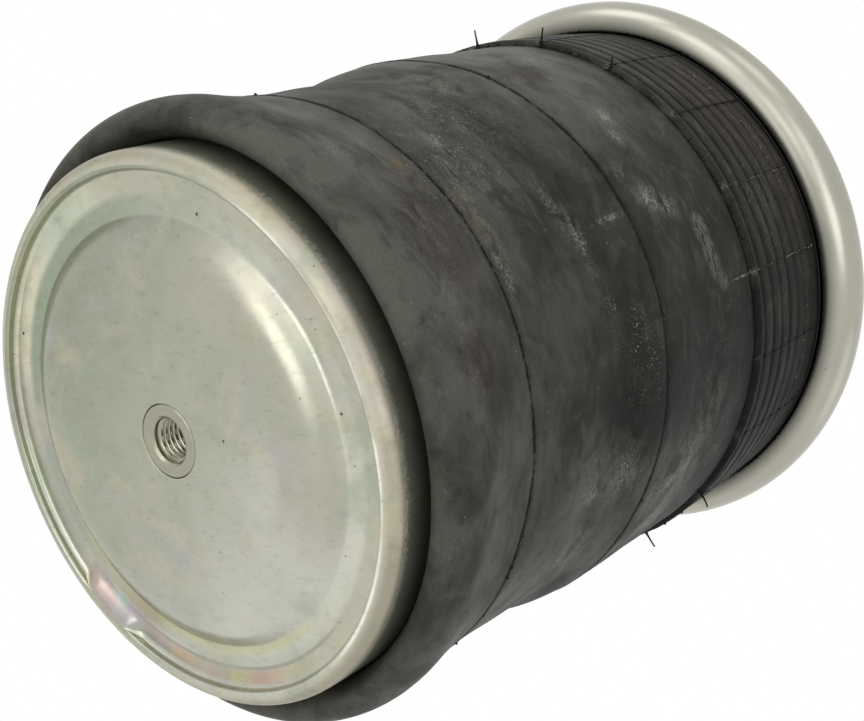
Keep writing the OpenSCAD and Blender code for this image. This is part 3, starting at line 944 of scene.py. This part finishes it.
def build_inner_wall(sizes):
    """Rubber that lies on the piston, from the bead over the shoulder down into the lobe."""
    shoulder = (CUP_R - 12, 108)
    seat_r = 86.3
    top = corner("bellows_inner_wall", 1)[2]

    def side(thickness, squeeze):
        """One face of the rubber, at a distance from the piston, squeezed a little in the lobe."""
        reach = LOBE_INNER_R + thickness
        radius = reach - shoulder[0]
        return filled([(seat_r, shoulder[1] + radius)] + arc(shoulder, radius, 90, 0, 16)
                      + [(reach, LOBE_TOP + 2), (reach + squeeze, LOBE_TOP - 1),
                         (reach + squeeze, LOBE_TOP - 5)], 4)
    outline = np.array(side(0, 0.2)[::-1] + side(sizes.wall / MM, -0.2))[::-1]
    outline[:, 1] = np.minimum(outline[:, 1], top)
    piece = turned_piece("bellows_inner_rubber", outline, 240)
    for name, value in RUBBER_PAINTS.items():
        paint(piece, name, np.full(len(piece.data.vertices), value))
    return piece


def on_neck(z, degrees, lift=0.0):
    """Point on the ribbed neck."""
    line = wall_line()
    radius = np.interp(z, line[:, 1], line[:, 0]) + lift
    t = math.radians(degrees)
    return (radius * math.cos(t), radius * math.sin(t), z)


def build_mould_lines():
    """Thin raised lines of the mould's segments, across the grooves of the neck."""
    rng = np.random.default_rng(11)
    lines = []
    for k in range(VENT_COUNT):
        degrees = VENT_FIRST + VENT_STEP * k
        heights = np.arange(SEAM_Z + 2, CRIMP_Z - rng.uniform(1.5, 6), 1.6)
        wander = np.cumsum(rng.normal(0, 0.035, len(heights)))
        size = rng.uniform(0.24, 0.36)
        lines.append([(on_neck(z, degrees + w, -0.08), size * rng.uniform(0.75, 1.2))
                      for z, w in zip(heights, wander)])
    return hairs("mould_lines", lines, 6)


# The longest vent hairs: (angle, share of the greatest length, lean sideways and upwards)
HAIRS = [(87.3, 1.15, (-0.2, 0.25)), (104.3, 1.1, (0.02, 0.05)), (122.2, 0.7, (-0.25, 0.1)),
         (228.6, 1.05, (0.1, -0.25)), (246.9, 1.25, (-0.15, -0.1)), (31.5, 0.8, (0.2, 0.2)),
         (301.5, 0.6, (-0.2, 0.3)), (337.5, 0.9, (0.15, 0.1)), (283.5, 0.3, (0.1, 0.2))]
NIB_COUNT = 70


def build_vent_hairs(sizes):
    """Rubber hairs that the mould's vents leave on the flash line, and small nibs between them."""
    rng = np.random.default_rng(12)
    longest = sizes.hair / MM
    stations, shifts = wall_shift(np.radians(np.arange(360)), sizes.sag / MM)
    seam_shift = shifts[stations.index(SEAM_Z - 3)]

    def root_at(degrees, lift, inset):
        """Foot of a hair on the flash line, and its way out."""
        root = Vector(on_neck(SEAM_Z + lift, degrees, inset)) + Vector((0, 0, seam_shift[int(degrees)]))
        return root, Vector((root.x, root.y, 0)).normalized()
    lines = []
    for degrees, share, (sideways, upwards) in HAIRS:
        root, out = root_at(degrees, 0.9, -0.8)
        side = Vector((-out.y, out.x, 0)) * sideways + Vector((0, 0, upwards))
        length = longest * share
        lines.append([(root + out * length * t + side * length * t ** 2, 0.42 + 0.8 * (1 - t) ** 5 - 0.1 * t)
                      for t in np.linspace(0, 1, 9)])
    for _ in range(NIB_COUNT):
        root, out = root_at(rng.uniform(0, 360), 0.6, -0.5)
        length = rng.uniform(0.5, 1.3)
        lines.append([(root + out * length * t, 0.3 - 0.12 * t) for t in (0, 0.5, 1)])
    return hairs("vent_hairs", lines)


# Piston

def cup_line():
    """Outside of the drawn cup: (collar hole to the lip's foot, lip and wall)."""
    plateau_r, depth, edge, fillet = 63.4, 6.8, 17, 4
    lean = 38
    rad = math.radians(lean)
    slope = depth - (edge + fillet) * (1 - math.cos(rad))
    foot_r = plateau_r + (edge + fillet) * math.sin(rad) + slope / math.tan(rad)
    base = [(13.42, 0.5), (13.45, 0.12), (13.57, 0)]
    base += arc((plateau_r, edge), edge, -90, lean - 90, 24)
    base += arc((foot_r, depth - fillet), fillet, 90 + lean, 90, 14)
    base += [(CREASE_R + d, depth - 0.04 * (d > 0)) for d in (-0.9, -0.4, 0.4, 0.9)]
    base += arc((LIP_R - LIP_ROLL - 2.2, 4.3), 2.2, 84, 0, 10)
    corner_r = CUP_R - LIP_R
    wall = arc((LIP_R, LIP_Z + LIP_ROLL), LIP_ROLL, 180, 270, 8)
    wall += arc((LIP_R, LIP_Z + corner_r), corner_r, -85, 0, 16)
    return base, wall + [(CUP_R, CUP_TOP)]


def pressed_edge(radii, heights, angles):
    """Unevenness of the rolled edge, and the bulge that fills its inner wall at one place."""
    start_r, start_z = 87, 6.4
    across = np.clip((radii - start_r) / (LIP_R - start_r), 0, 1)
    on_edge = window(radii, start_r + 0.3, LIP_R - 0.4, 0.8) * (heights < 7.2)
    bulge = sector(angles, -48.5, -8.5, 8.5, 5) * on_edge
    filled_z = start_z + (LIP_Z - start_z) * across - 0.5 * np.sin(across * math.pi)
    heights = heights + (filled_z - heights) * bulge
    ring = window(radii, 77, 96, 4)
    heights = heights + ring * ripple(angles, 0.1, range(3, 12), 8)
    radii = radii + ring * ripple(angles, 0.08, range(3, 12), 9)
    return radii, heights


# Colours of the passivation on the ring beside the rolled edge: (angle, half width, colour, amount)
RING_SPOTS = [(-66, 3, (178, 158, 164), 0.7), (-73, 4, (200, 168, 140), 0.9), (-79, 4, (194, 178, 156), 0.7),
              (-86, 4, (190, 160, 148), 0.85), (-93, 4, (194, 186, 134), 0.85),
              (-101, 6, (188, 158, 144), 0.8), (-112, 8, (188, 178, 148), 0.7)]
# The same in the dent: (angle, inner radius, outer radius, colour, amount)
DENT_SPOTS = [(-42, 86, 93.5, (176, 150, 152), 0.95), (-41, 84, 87.5, (168, 156, 178), 0.8),
              (-47, 87, 94, (172, 152, 154), 0.85), (-50, 84, 87.5, (172, 196, 190), 0.9),
              (-54, 87, 93, (166, 160, 164), 0.85), (-56, 84.5, 88, (182, 162, 174), 0.8),
              (-61, 86, 92, (180, 160, 158), 0.7)]


def tint_cup(radii, heights, angles, colours):
    """Passivation of the cup, by place: pink ring, yellow foot and rainbow patches, with olive painted shade
    on the far side and painted light on the near side, painted shade at the crease and the wall, and a
    painted highlight on the crest.
    """
    tint = np.zeros(radii.shape + (3,)) + np.array(colours.zinc[:3])

    def lay(colour, amount):
        """Lays a colour over what is there, by an amount for each point."""
        tint[:] = tint + (np.array(colour[:3]) - tint) * amount[..., None]

    def around(degrees, before, after, soft):
        """1 in a sector round a direction."""
        return sector(angles, degrees, before, after, soft)
    # Painted shade on the far side and painted light on the near side, across the cup.
    slant = radii / 67 * np.cos(angles - math.radians(42))
    lay(shade(150, 153, 136), ease(slant) * 0.8)
    lay(shade(200, 199, 189), ease(-slant) * 0.85)
    near = heights < FOLD_Z
    lay(shade(178, 173, 160), window(radii, 52, 77, 6) * near * around(165, -48, 45, 30) * 0.8)
    channel = window(radii, CHANNEL_R, CREASE_R, 1.0) * near
    far_side = ease(0.5 + 0.5 * np.cos(angles - math.radians(25)))
    # Painted shade on the channel's far side, painted light on its near side.
    lay(colours.zinc_shaded, channel * far_side)
    lay(shade(204, 204, 190), channel * (1 - far_side) * 0.9)
    # Painted light on the foot of the slope, far side, lifting its shade.
    slope = window(radii, 72.5, CHANNEL_R, 3) * near
    lay(shade(184, 186, 168), slope * around(10, -60, 60, 30) * 0.6)
    yellow = channel * around(-72, -52, 42, 30)
    lay(colours.zinc_yellow, yellow * window(radii, 74, 80.5, 3) * 0.65)
    lay(shade(178, 180, 170), yellow * window(radii, 81.5, 88, 3) * 0.6)
    lay(shade(172, 160, 130), yellow * around(-56, -9, 9, 8) * 0.7)
    ring = window(radii, CREASE_R - 1, 92.8, 1.4) * near
    facing = around(-10, -95, 85, 50)
    lay(shade(186, 184, 166), ring * (1 - facing) * 0.85)
    lay(colours.zinc_blush, ring * facing * 0.85)
    lay(shade(192, 200, 180), ring * (around(60, -14, 14, 12) + around(-18, -14, 14, 14)) * 0.8)
    lay(shade(176, 178, 174), ring * around(-64, -50, 44, 22) * 0.8)
    for degrees, half, colour, amount in RING_SPOTS:
        spot = window(radii, 86.8, 91.6, 2) * near * around(degrees, -half, half, half)
        lay(shade(*colour), spot * amount)
    # Painted shade: a thin dark line along the fold at the crease radius, on one side.
    crease = np.where(np.abs(radii - CREASE_R) < 0.6, near, 0) * around(-95, -38, 50, 18)
    lay(shade(134, 132, 112), crease * 0.5)
    dent = window(radii, 84, 94, 2.5) * near
    for degrees, inner, outer, colour, amount in DENT_SPOTS:
        spot = around(degrees, -3.4, 3.4, 4) * window(radii, inner, outer, 2)
        lay(shade(*colour), dent * spot * amount)
    inner_wall = window(radii, 92.9, 94.0, 0.5) * window(heights, 2.9, 6.0, 0.8)
    lay(shade(176, 178, 152), inner_wall * around(5, -60, 60, 20) * 0.9)
    corner_band = (radii > 94.6) * window(heights, 1, 9, 2)
    lay(shade(192, 188, 170), corner_band * 0.95)
    # Painted shade, darker towards the wall.
    lay(shade(164, 158, 142), corner_band * ease((radii - 95.2) / 3.0) * 0.95)
    # Painted highlight along the crest of the rolled edge, on the near side.
    crest = window(radii, 94.25, 95.35, 0.5) * (heights < 3.6)
    lay(shade(246, 244, 230), crest * around(175, -50, 55, 14))
    return tint


def build_cup(sizes, colours):
    """Drawn piston cup."""
    sheet = sizes.cup_sheet / MM
    base, wall = cup_line()
    base = filled(base, 2.0)
    outer = filled([base[-1]] + wall, 2.0)[1:]
    wall_r = CUP_R - sheet
    fold_half_w = (wall_r - (LIP_R - LIP_ROLL + sheet)) / 2
    fold_mid = (wall_r - fold_half_w, LIP_Z + LIP_ROLL + sheet)
    inner = filled([(wall_r, CUP_TOP)] + arc(fold_mid, fold_half_w, 0, -180, 8), 4)
    outline = np.array(base + outer + inner + beside(base, sheet)[::-1])
    angles = round_angles(CUP_COLUMNS)
    radii, heights = pressed_edge(*spun(outline, CUP_COLUMNS), angles)
    piece = round_piece("drawn_cup", radii, heights, sharp=50)
    paint_colour(piece, "tint", tint_cup(radii, heights, angles, colours))
    radius, height = outline[:, :1], outline[:, 1:]
    seen = np.arange(len(outline))[:, None] < len(base + outer)
    # Rubber rubbed off on the wall beside the lobe, and painted shade there, stronger on the near side.
    rubbed = np.interp(height, [4.6, 13, 30, 52], [0, 1, 1, 0.12]) * (radius > LIP_R) * seen
    paint(piece, "rubbed", rubbed * (0.62 + 0.38 * sector(angles, 165, -75, 75, 40)))
    paint(piece, "dull", window(radius, LIP_R + 1.4, CUP_R + 1, 0.8) * seen + 0 * angles)
    return piece


# Threads

def thread(heights, angles, pitch, root=0.14, crest=0.1):
    """Height of a thread's flank between root (0) and crest (1)."""
    turn = (heights / pitch - angles / TURN) % 1
    ridge = 1 - np.abs(2 * turn - 1)
    return np.clip((ridge - root) / (1 - root - crest), 0, 1)


def build_tapped(name, outside, mouth_z, far_z, minor, major, pitch, mouth_r, far_mouth_r):
    """Bush with a tapped hole, plain near its mouth; the outside runs from one mouth to the other."""
    steps = int(abs(far_z - mouth_z) / pitch * 12)
    hole_z = np.linspace(far_z, mouth_z, steps)[:, None]
    ridge = thread(hole_z, round_angles(TAP_COLUMNS), pitch)
    flare = np.maximum(mouth_r - np.abs(hole_z - mouth_z), far_mouth_r - np.abs(hole_z - far_z))
    flare = np.maximum(flare, (np.abs(hole_z - mouth_z) < PLAIN_MOUTH) * (major + 0.1))
    hole_r = np.maximum(major - (major - minor) * ridge, flare)
    radii, heights = spun(outside, TAP_COLUMNS)
    radii = np.concatenate([radii, hole_r])
    heights = np.concatenate([heights, hole_z + 0 * hole_r])
    return round_piece(name, radii, heights, sharp=38)


def build_insert(sizes):
    """Threaded insert, flush in the plateau."""
    body_r, flange_r = 13.2, 19
    outside = [(9.1, 0.02), (12.9, 0), (body_r, 0.35), (body_r, 2.5), (flange_r, 2.5), (flange_r, 7.5),
               (body_r, 7.5), (body_r, INSERT_H - 0.6), (12.6, INSERT_H), (8.6, INSERT_H)]
    return build_tapped("threaded_insert", filled(outside, 1.5), 0, INSERT_H, 7.0, 8.05,
                        sizes.lower_pitch / MM, 9.1, 8.6)


def build_bush(sizes):
    """Welded bush with the tapped air inlet, moved to its place on the plate."""
    body_r, neck_r, shoulder = 17, 14, PLATE_Z - 3
    outside = filled([(11.2, BUSH_LOW), (16.4, BUSH_LOW), (body_r, BUSH_LOW + 0.6), (body_r, shoulder),
                      (neck_r, shoulder), (neck_r, PLATE_Z)], 1.5) + [(11.9, PLATE_Z)]
    piece = build_tapped("tapped_bush", outside, BUSH_LOW, PLATE_Z, 10.2, 11.05,
                         sizes.inlet_pitch / MM, 11.2, 11.9)
    piece.data.transform(Matrix.Translation((0, INLET_Y * MM, 0)))
    return piece


def build_studs(sizes):
    """Both studs: head and shank inside, thread with a chamfered tip outside."""
    pitch = sizes.stud_pitch / MM
    head_r, head_z, shank_r, tip_r = 14, STUD_LOW + 4, STUD_R + 0.4, STUD_R - 1.3
    body = filled([(0, STUD_LOW), (head_r - 0.6, STUD_LOW), (head_r, STUD_LOW + 0.5), (head_r, head_z),
                   (shank_r, head_z), (shank_r, PLATE_Z), (STUD_R, PLATE_Z), (STUD_R, PLATE_Z + 0.5)], 1.5)
    rows = np.arange(PLATE_Z + 0.6, STUD_TOP, pitch / 10)[:, None]
    ridge = thread(rows, round_angles(STUD_COLUMNS), pitch, 0.1, 0.12)
    shaft = STUD_R - 1.07 * (1 - ridge) * ease((rows - PLATE_Z - 0.6) / pitch)
    shaft = np.minimum(shaft, tip_r + STUD_TOP - rows)
    body_r, body_z = spun(body, STUD_COLUMNS)
    end_r, end_z = spun([(tip_r, STUD_TOP), (0, STUD_TOP)], STUD_COLUMNS)
    left = round_piece("threaded_studs", np.concatenate([body_r, shaft, end_r]),
                       np.concatenate([body_z, rows + 0 * shaft, end_z]), closed=False, sharp=38)
    weld(left)
    left.data.transform(Matrix.Translation((-STUD_X * MM, 0, 0)))
    right = left.data.copy()
    right.transform(Matrix.Translation((2 * STUD_X * MM, 0, 0)))
    form = bmesh.new()
    form.from_mesh(left.data)
    form.from_mesh(right)
    form.to_mesh(left.data)
    form.free()
    return left


# Bead plate

def build_plate(sizes):
    """Bead plate: flat disc whose edge is rolled round the rubber's bead."""
    sheet = sizes.plate_sheet / MM
    roll = arc(ROLL_MID, ROLL_R, -90, 90, 40)
    inner = arc(ROLL_MID, ROLL_R - sheet, 90, -90, 30)
    end_mid = (ROLL_MID[0], ROLL_MID[1] - ROLL_R + sheet / 2)
    hem = arc(end_mid, sheet / 2, 90, 270, 8)[1:-1]
    top = filled([(ROLL_MID[0], PLATE_Z), (6, PLATE_Z)], 6)[1:]
    under = filled([(6, PLATE_Z - sheet), (ROLL_MID[0], PLATE_Z - sheet)], 6)[:-1]
    outline = roll + top + [(0, PLATE_Z), (0, PLATE_Z - sheet)] + under + inner + hem
    angles = round_angles(PLATE_COLUMNS)
    radii, heights = spun(outline, PLATE_COLUMNS)
    rolled = window(radii, ROLL_MID[0] - 4, RIM_R + 3, 4)
    radii = radii + np.minimum(ripple(angles, 0.1, range(2, 9), 14), 0) * rolled
    piece = round_piece("rolled_plate", radii, heights, sharp=40)
    # Grime and painted shade, darkest at the crimp.
    grime = np.clip(1 - (radii - ROLL_MID[0] + 0.3) / 7.2, 0, 1) * (heights < ROLL_MID[1] - 5)
    paint(piece, "grime", grime + 0 * angles)
    weld(piece)
    above, below = PLATE_Z + 5, PLATE_Z - 12
    cut(piece, [(-STUD_X, 0, STUD_R + 0.5, below, above), (STUD_X, 0, STUD_R + 0.5, below, above),
                (0, INLET_Y, 14.1, below, above)])
    finish_mesh(piece, 40)
    return piece


# Studio

def softbox(name, direction, size, brightness):
    """Round soft lamp that faces the object and that the camera doesn't see."""
    middle, distance = Vector((0, 0, 0.15)), 1.5
    lamp = bpy.data.lights.new(name, "AREA")
    lamp.shape = "DISK"
    lamp.size = size
    lamp.energy = brightness * math.pi * math.pi * (size / 2) ** 2
    holder = new_piece(name, lamp)
    way = Vector(direction).normalized()
    holder.location = middle + way * distance
    holder.rotation_euler = way.to_track_quat("Z", "Y").to_euler()
    holder.visible_camera = False


def build_camera(lens):
    """Camera at the photograph's place, low on the near side and turned with the object."""
    place = (-0.40836, 0.11204, -0.31411)
    right = Vector((-0.75484, -0.16833, 0.63394))
    up = Vector((0, 0.96651, 0.25664))
    back = right.cross(up)
    camera = bpy.data.cameras.new("camera")
    camera.sensor_width = 36
    camera.sensor_fit = "HORIZONTAL"
    camera.lens = lens
    camera.clip_start = 0.01
    holder = new_piece("camera", camera)
    turn = Matrix((right, up, back)).transposed().to_4x4()
    holder.matrix_world = Matrix.Translation(place) @ turn
    bpy.context.scene.camera = holder


def build_world(room):
    """White room: white behind the object and in its reflections, softer as light on matt parts."""
    world = bpy.data.worlds.new("white_room")
    bpy.context.scene.world = world
    world.use_nodes = True
    tree = world.node_tree
    tree.nodes.clear()
    path = add(tree, "LightPath")
    direct, mirrored, through = [Value(path, f"Is {kind} Ray")
                                 for kind in ("Camera", "Glossy", "Transmission")]
    strength = direct.at_least(mirrored.at_least(through)).spread(0, 1, room, 1)
    white = Value(add(tree, "Background", Color=grey(1), Strength=strength))
    add(tree, "OutputWorld", Surface=white)


def build_floor():
    """Pale floor, seen from above only, that fades into the white room."""
    floor = turned_piece("floor", [(radius, -0.5) for radius in (6000, 900, 300, 0)], 64, False)
    material, place = new_material("pale_floor", stored=False)
    tint = mix(grey(0.9), grey(0.86), noise(place, 60, 3).spread())
    matt = Value(add(place.tree, "BsdfDiffuse", Color=tint))
    white = Value(add(place.tree, "Emission", Color=grey(1), Strength=1.0))
    clear = Value(add(place.tree, "BsdfTransparent"))
    fading = mix_shaders(place.reach().spread(0.18, 0.75), matt, white)
    below = Value(add(place.tree, "NewGeometry"), "Backfacing")
    add(place.tree, "OutputMaterial", Surface=mix_shaders(below, fading, clear))
    wear(floor, material)
    floor.visible_diffuse = False
    floor.visible_glossy = False
    floor.visible_transmission = False
    floor.visible_shadow = False


# Operators

class BellowsOperator:
    """What all the operators share."""

    bl_options = {"REGISTER", "UNDO"}


class MESH_OT_bellows_rubber(BellowsOperator, bpy.types.Operator):
    """Moulds the rubber: lobe, wall and neck, the inner wall, mould lines and vent hairs"""

    bl_idname = "mesh.bellows_rubber"
    bl_label = "Rubber Bellows"

    def execute(self, context):
        sizes = context.scene.bellows_sizes
        rubber = moulded_rubber(context.scene.bellows_colours)
        wall = build_rubber_wall(sizes)
        inner = build_inner_wall(sizes)
        lines = build_mould_lines()
        vents = build_vent_hairs(sizes)
        for piece in (wall, inner, lines, vents):
            wear(piece, rubber)
        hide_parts("bellows_lobe", "bellows_sleeve", "bellows_neck")
        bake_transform(wall)
        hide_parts("bellows_inner_wall")
        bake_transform(inner)
        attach(lines, "top")
        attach(vents, "top")
        return {"FINISHED"}


class MESH_OT_bellows_piston(BellowsOperator, bpy.types.Operator):
    """Presses the piston's cup with its rolled edge"""

    bl_idname = "mesh.bellows_piston"
    bl_label = "Piston Cup"

    def execute(self, context):
        cup = build_cup(context.scene.bellows_sizes, context.scene.bellows_colours)
        wear(cup, zinc_plate(context.scene.bellows_colours))
        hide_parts("piston_cup")
        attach(cup, "piston")
        return {"FINISHED"}


class MESH_OT_bellows_threads(BellowsOperator, bpy.types.Operator):
    """Turns and taps the insert, the studs and the air inlet's bush"""

    bl_idname = "mesh.bellows_threads"
    bl_label = "Threaded Parts"

    def execute(self, context):
        sizes = context.scene.bellows_sizes
        steel = turned_steel(context.scene.bellows_colours)
        for piece, node, body in ((build_insert(sizes), "base_insert", "piston"),
                                  (build_studs(sizes), "mounting_studs", "top"),
                                  (build_bush(sizes), "inlet_bush", "top")):
            keep_places(piece)
            wear(piece, steel)
            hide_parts(node)
            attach(piece, body)
        return {"FINISHED"}


class MESH_OT_bellows_plate(BellowsOperator, bpy.types.Operator):
    """Rolls the bead plate and cuts its holes"""

    bl_idname = "mesh.bellows_plate"
    bl_label = "Bead Plate"

    def execute(self, context):
        plate = build_plate(context.scene.bellows_sizes)
        wear(plate, satin_plate(context.scene.bellows_colours))
        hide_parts("bead_plate")
        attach(plate, "top")
        return {"FINISHED"}


class MESH_OT_bellows_inner_parts(BellowsOperator, bpy.types.Operator):
    """Finishes the parts that the construction model already shapes"""

    bl_idname = "mesh.bellows_inner_parts"
    bl_label = "Inner Parts"

    def execute(self, context):
        plain = oiled_steel("oiled_steel", shade(150, 150, 146), shade(112, 110, 106))
        coated = oiled_steel("bronze_wire", shade(176, 150, 112), shade(130, 108, 80))
        pressed = oiled_steel("pressed_zinc", shade(176, 176, 160), shade(150, 152, 136))
        dense = bumper_rubber()
        for node, finish in (("piston_top", pressed), ("bead_retainer", pressed),
                             ("support_tube", plain), ("top_insert", plain),
                             ("bumper_base", plain), ("stud_backers", plain),
                             ("closure_washer", pressed), ("closure_screw", pressed),
                             ("lower_bead_wire", coated), ("upper_bead_wire", coated),
                             ("lower_bead", dense), ("upper_bead", dense),
                             ("closure_seal", dense), ("bumper", dense)):
            wear(frame["nodes"][node], finish)
        return {"FINISHED"}


class SCENE_OT_bellows_studio(BellowsOperator, bpy.types.Operator):
    """Sets up camera, softboxes, white room and floor"""

    bl_idname = "scene.bellows_studio"
    bl_label = "Studio"

    def execute(self, context):
        studio = context.scene.bellows_studio
        context.scene.view_settings.view_transform = "Standard"
        build_camera(studio.lens)
        build_world(studio.room)
        build_floor()
        for name, way, size, brightness in (
                ("key_light", (-0.07, 0.22, -0.97), 0.75, studio.key),
                ("arch_light", (-0.05, 0.58, -0.81), 0.6, studio.key * 0.7),
                ("near_light", (-0.50, 0.49, -0.71), 0.6, studio.key * 0.7),
                ("side_light", (-0.91, 0.05, -0.40), 0.75, studio.key * 0.9),
                ("shoulder_light", (-0.84, 0.48, -0.26), 0.6, studio.key * 0.55),
                ("upper_light", (-0.12, 0.86, -0.50), 0.7, studio.key * 0.8),
                ("top_light", (0.22, 0.97, -0.07), 0.7, studio.key * 0.85),
                ("high_light", (-0.50, 0.83, 0.12), 0.6, studio.key * 0.5),
                ("low_light", (-0.60, -0.70, 0.35), 0.8, studio.fill * 0.3),
                ("back_light", (0.75, -0.45, 0.48), 0.9, studio.fill),
                ("overhead_light", (0.2, 0.1, 1.0), 0.9, studio.fill)):
            softbox(name, way, size, brightness)
        return {"FINISHED"}


class VIEW3D_PT_bellows(bpy.types.Panel):
    """Lists the bellows' pieces and its settings"""

    bl_label = "Air Suspension Bellows"
    bl_space_type = "VIEW_3D"
    bl_region_type = "UI"
    bl_category = "Bellows"

    def draw(self, context):
        layout = self.layout
        for operator in OPERATORS:
            layout.operator(operator.bl_idname)
        for title, settings in (("Sizes", context.scene.bellows_sizes),
                                ("Colours", context.scene.bellows_colours),
                                ("Studio", context.scene.bellows_studio)):
            box = layout.box()
            box.label(text=title)
            for name in settings.__annotations__:
                box.prop(settings, name)


OPERATORS = (MESH_OT_bellows_rubber, MESH_OT_bellows_piston, MESH_OT_bellows_threads,
             MESH_OT_bellows_plate, MESH_OT_bellows_inner_parts, SCENE_OT_bellows_studio)
GROUPS = {"bellows_sizes": BellowsSizes, "bellows_colours": BellowsColours,
          "bellows_studio": BellowsStudio}


def register():
    """Makes the settings, the operators and the panel known."""
    for group in GROUPS.values():
        bpy.utils.register_class(group)
    for name, group in GROUPS.items():
        setattr(bpy.types.Scene, name, bpy.props.PointerProperty(type=group))
    for item in (*OPERATORS, VIEW3D_PT_bellows):
        bpy.utils.register_class(item)


def unregister():
    """Takes them away again."""
    for item in (VIEW3D_PT_bellows, *reversed(OPERATORS)):
        bpy.utils.unregister_class(item)
    for name in GROUPS:
        delattr(bpy.types.Scene, name)
    for group in GROUPS.values():
        bpy.utils.unregister_class(group)


def main():
    """Builds every piece and the stage."""
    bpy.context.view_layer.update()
    register()
    bpy.ops.mesh.bellows_rubber()
    bpy.ops.mesh.bellows_piston()
    bpy.ops.mesh.bellows_threads()
    bpy.ops.mesh.bellows_plate()
    bpy.ops.mesh.bellows_inner_parts()
    bpy.ops.scene.bellows_studio()
    bpy.context.view_layer.update()


if __name__ == "__main__":
    main()
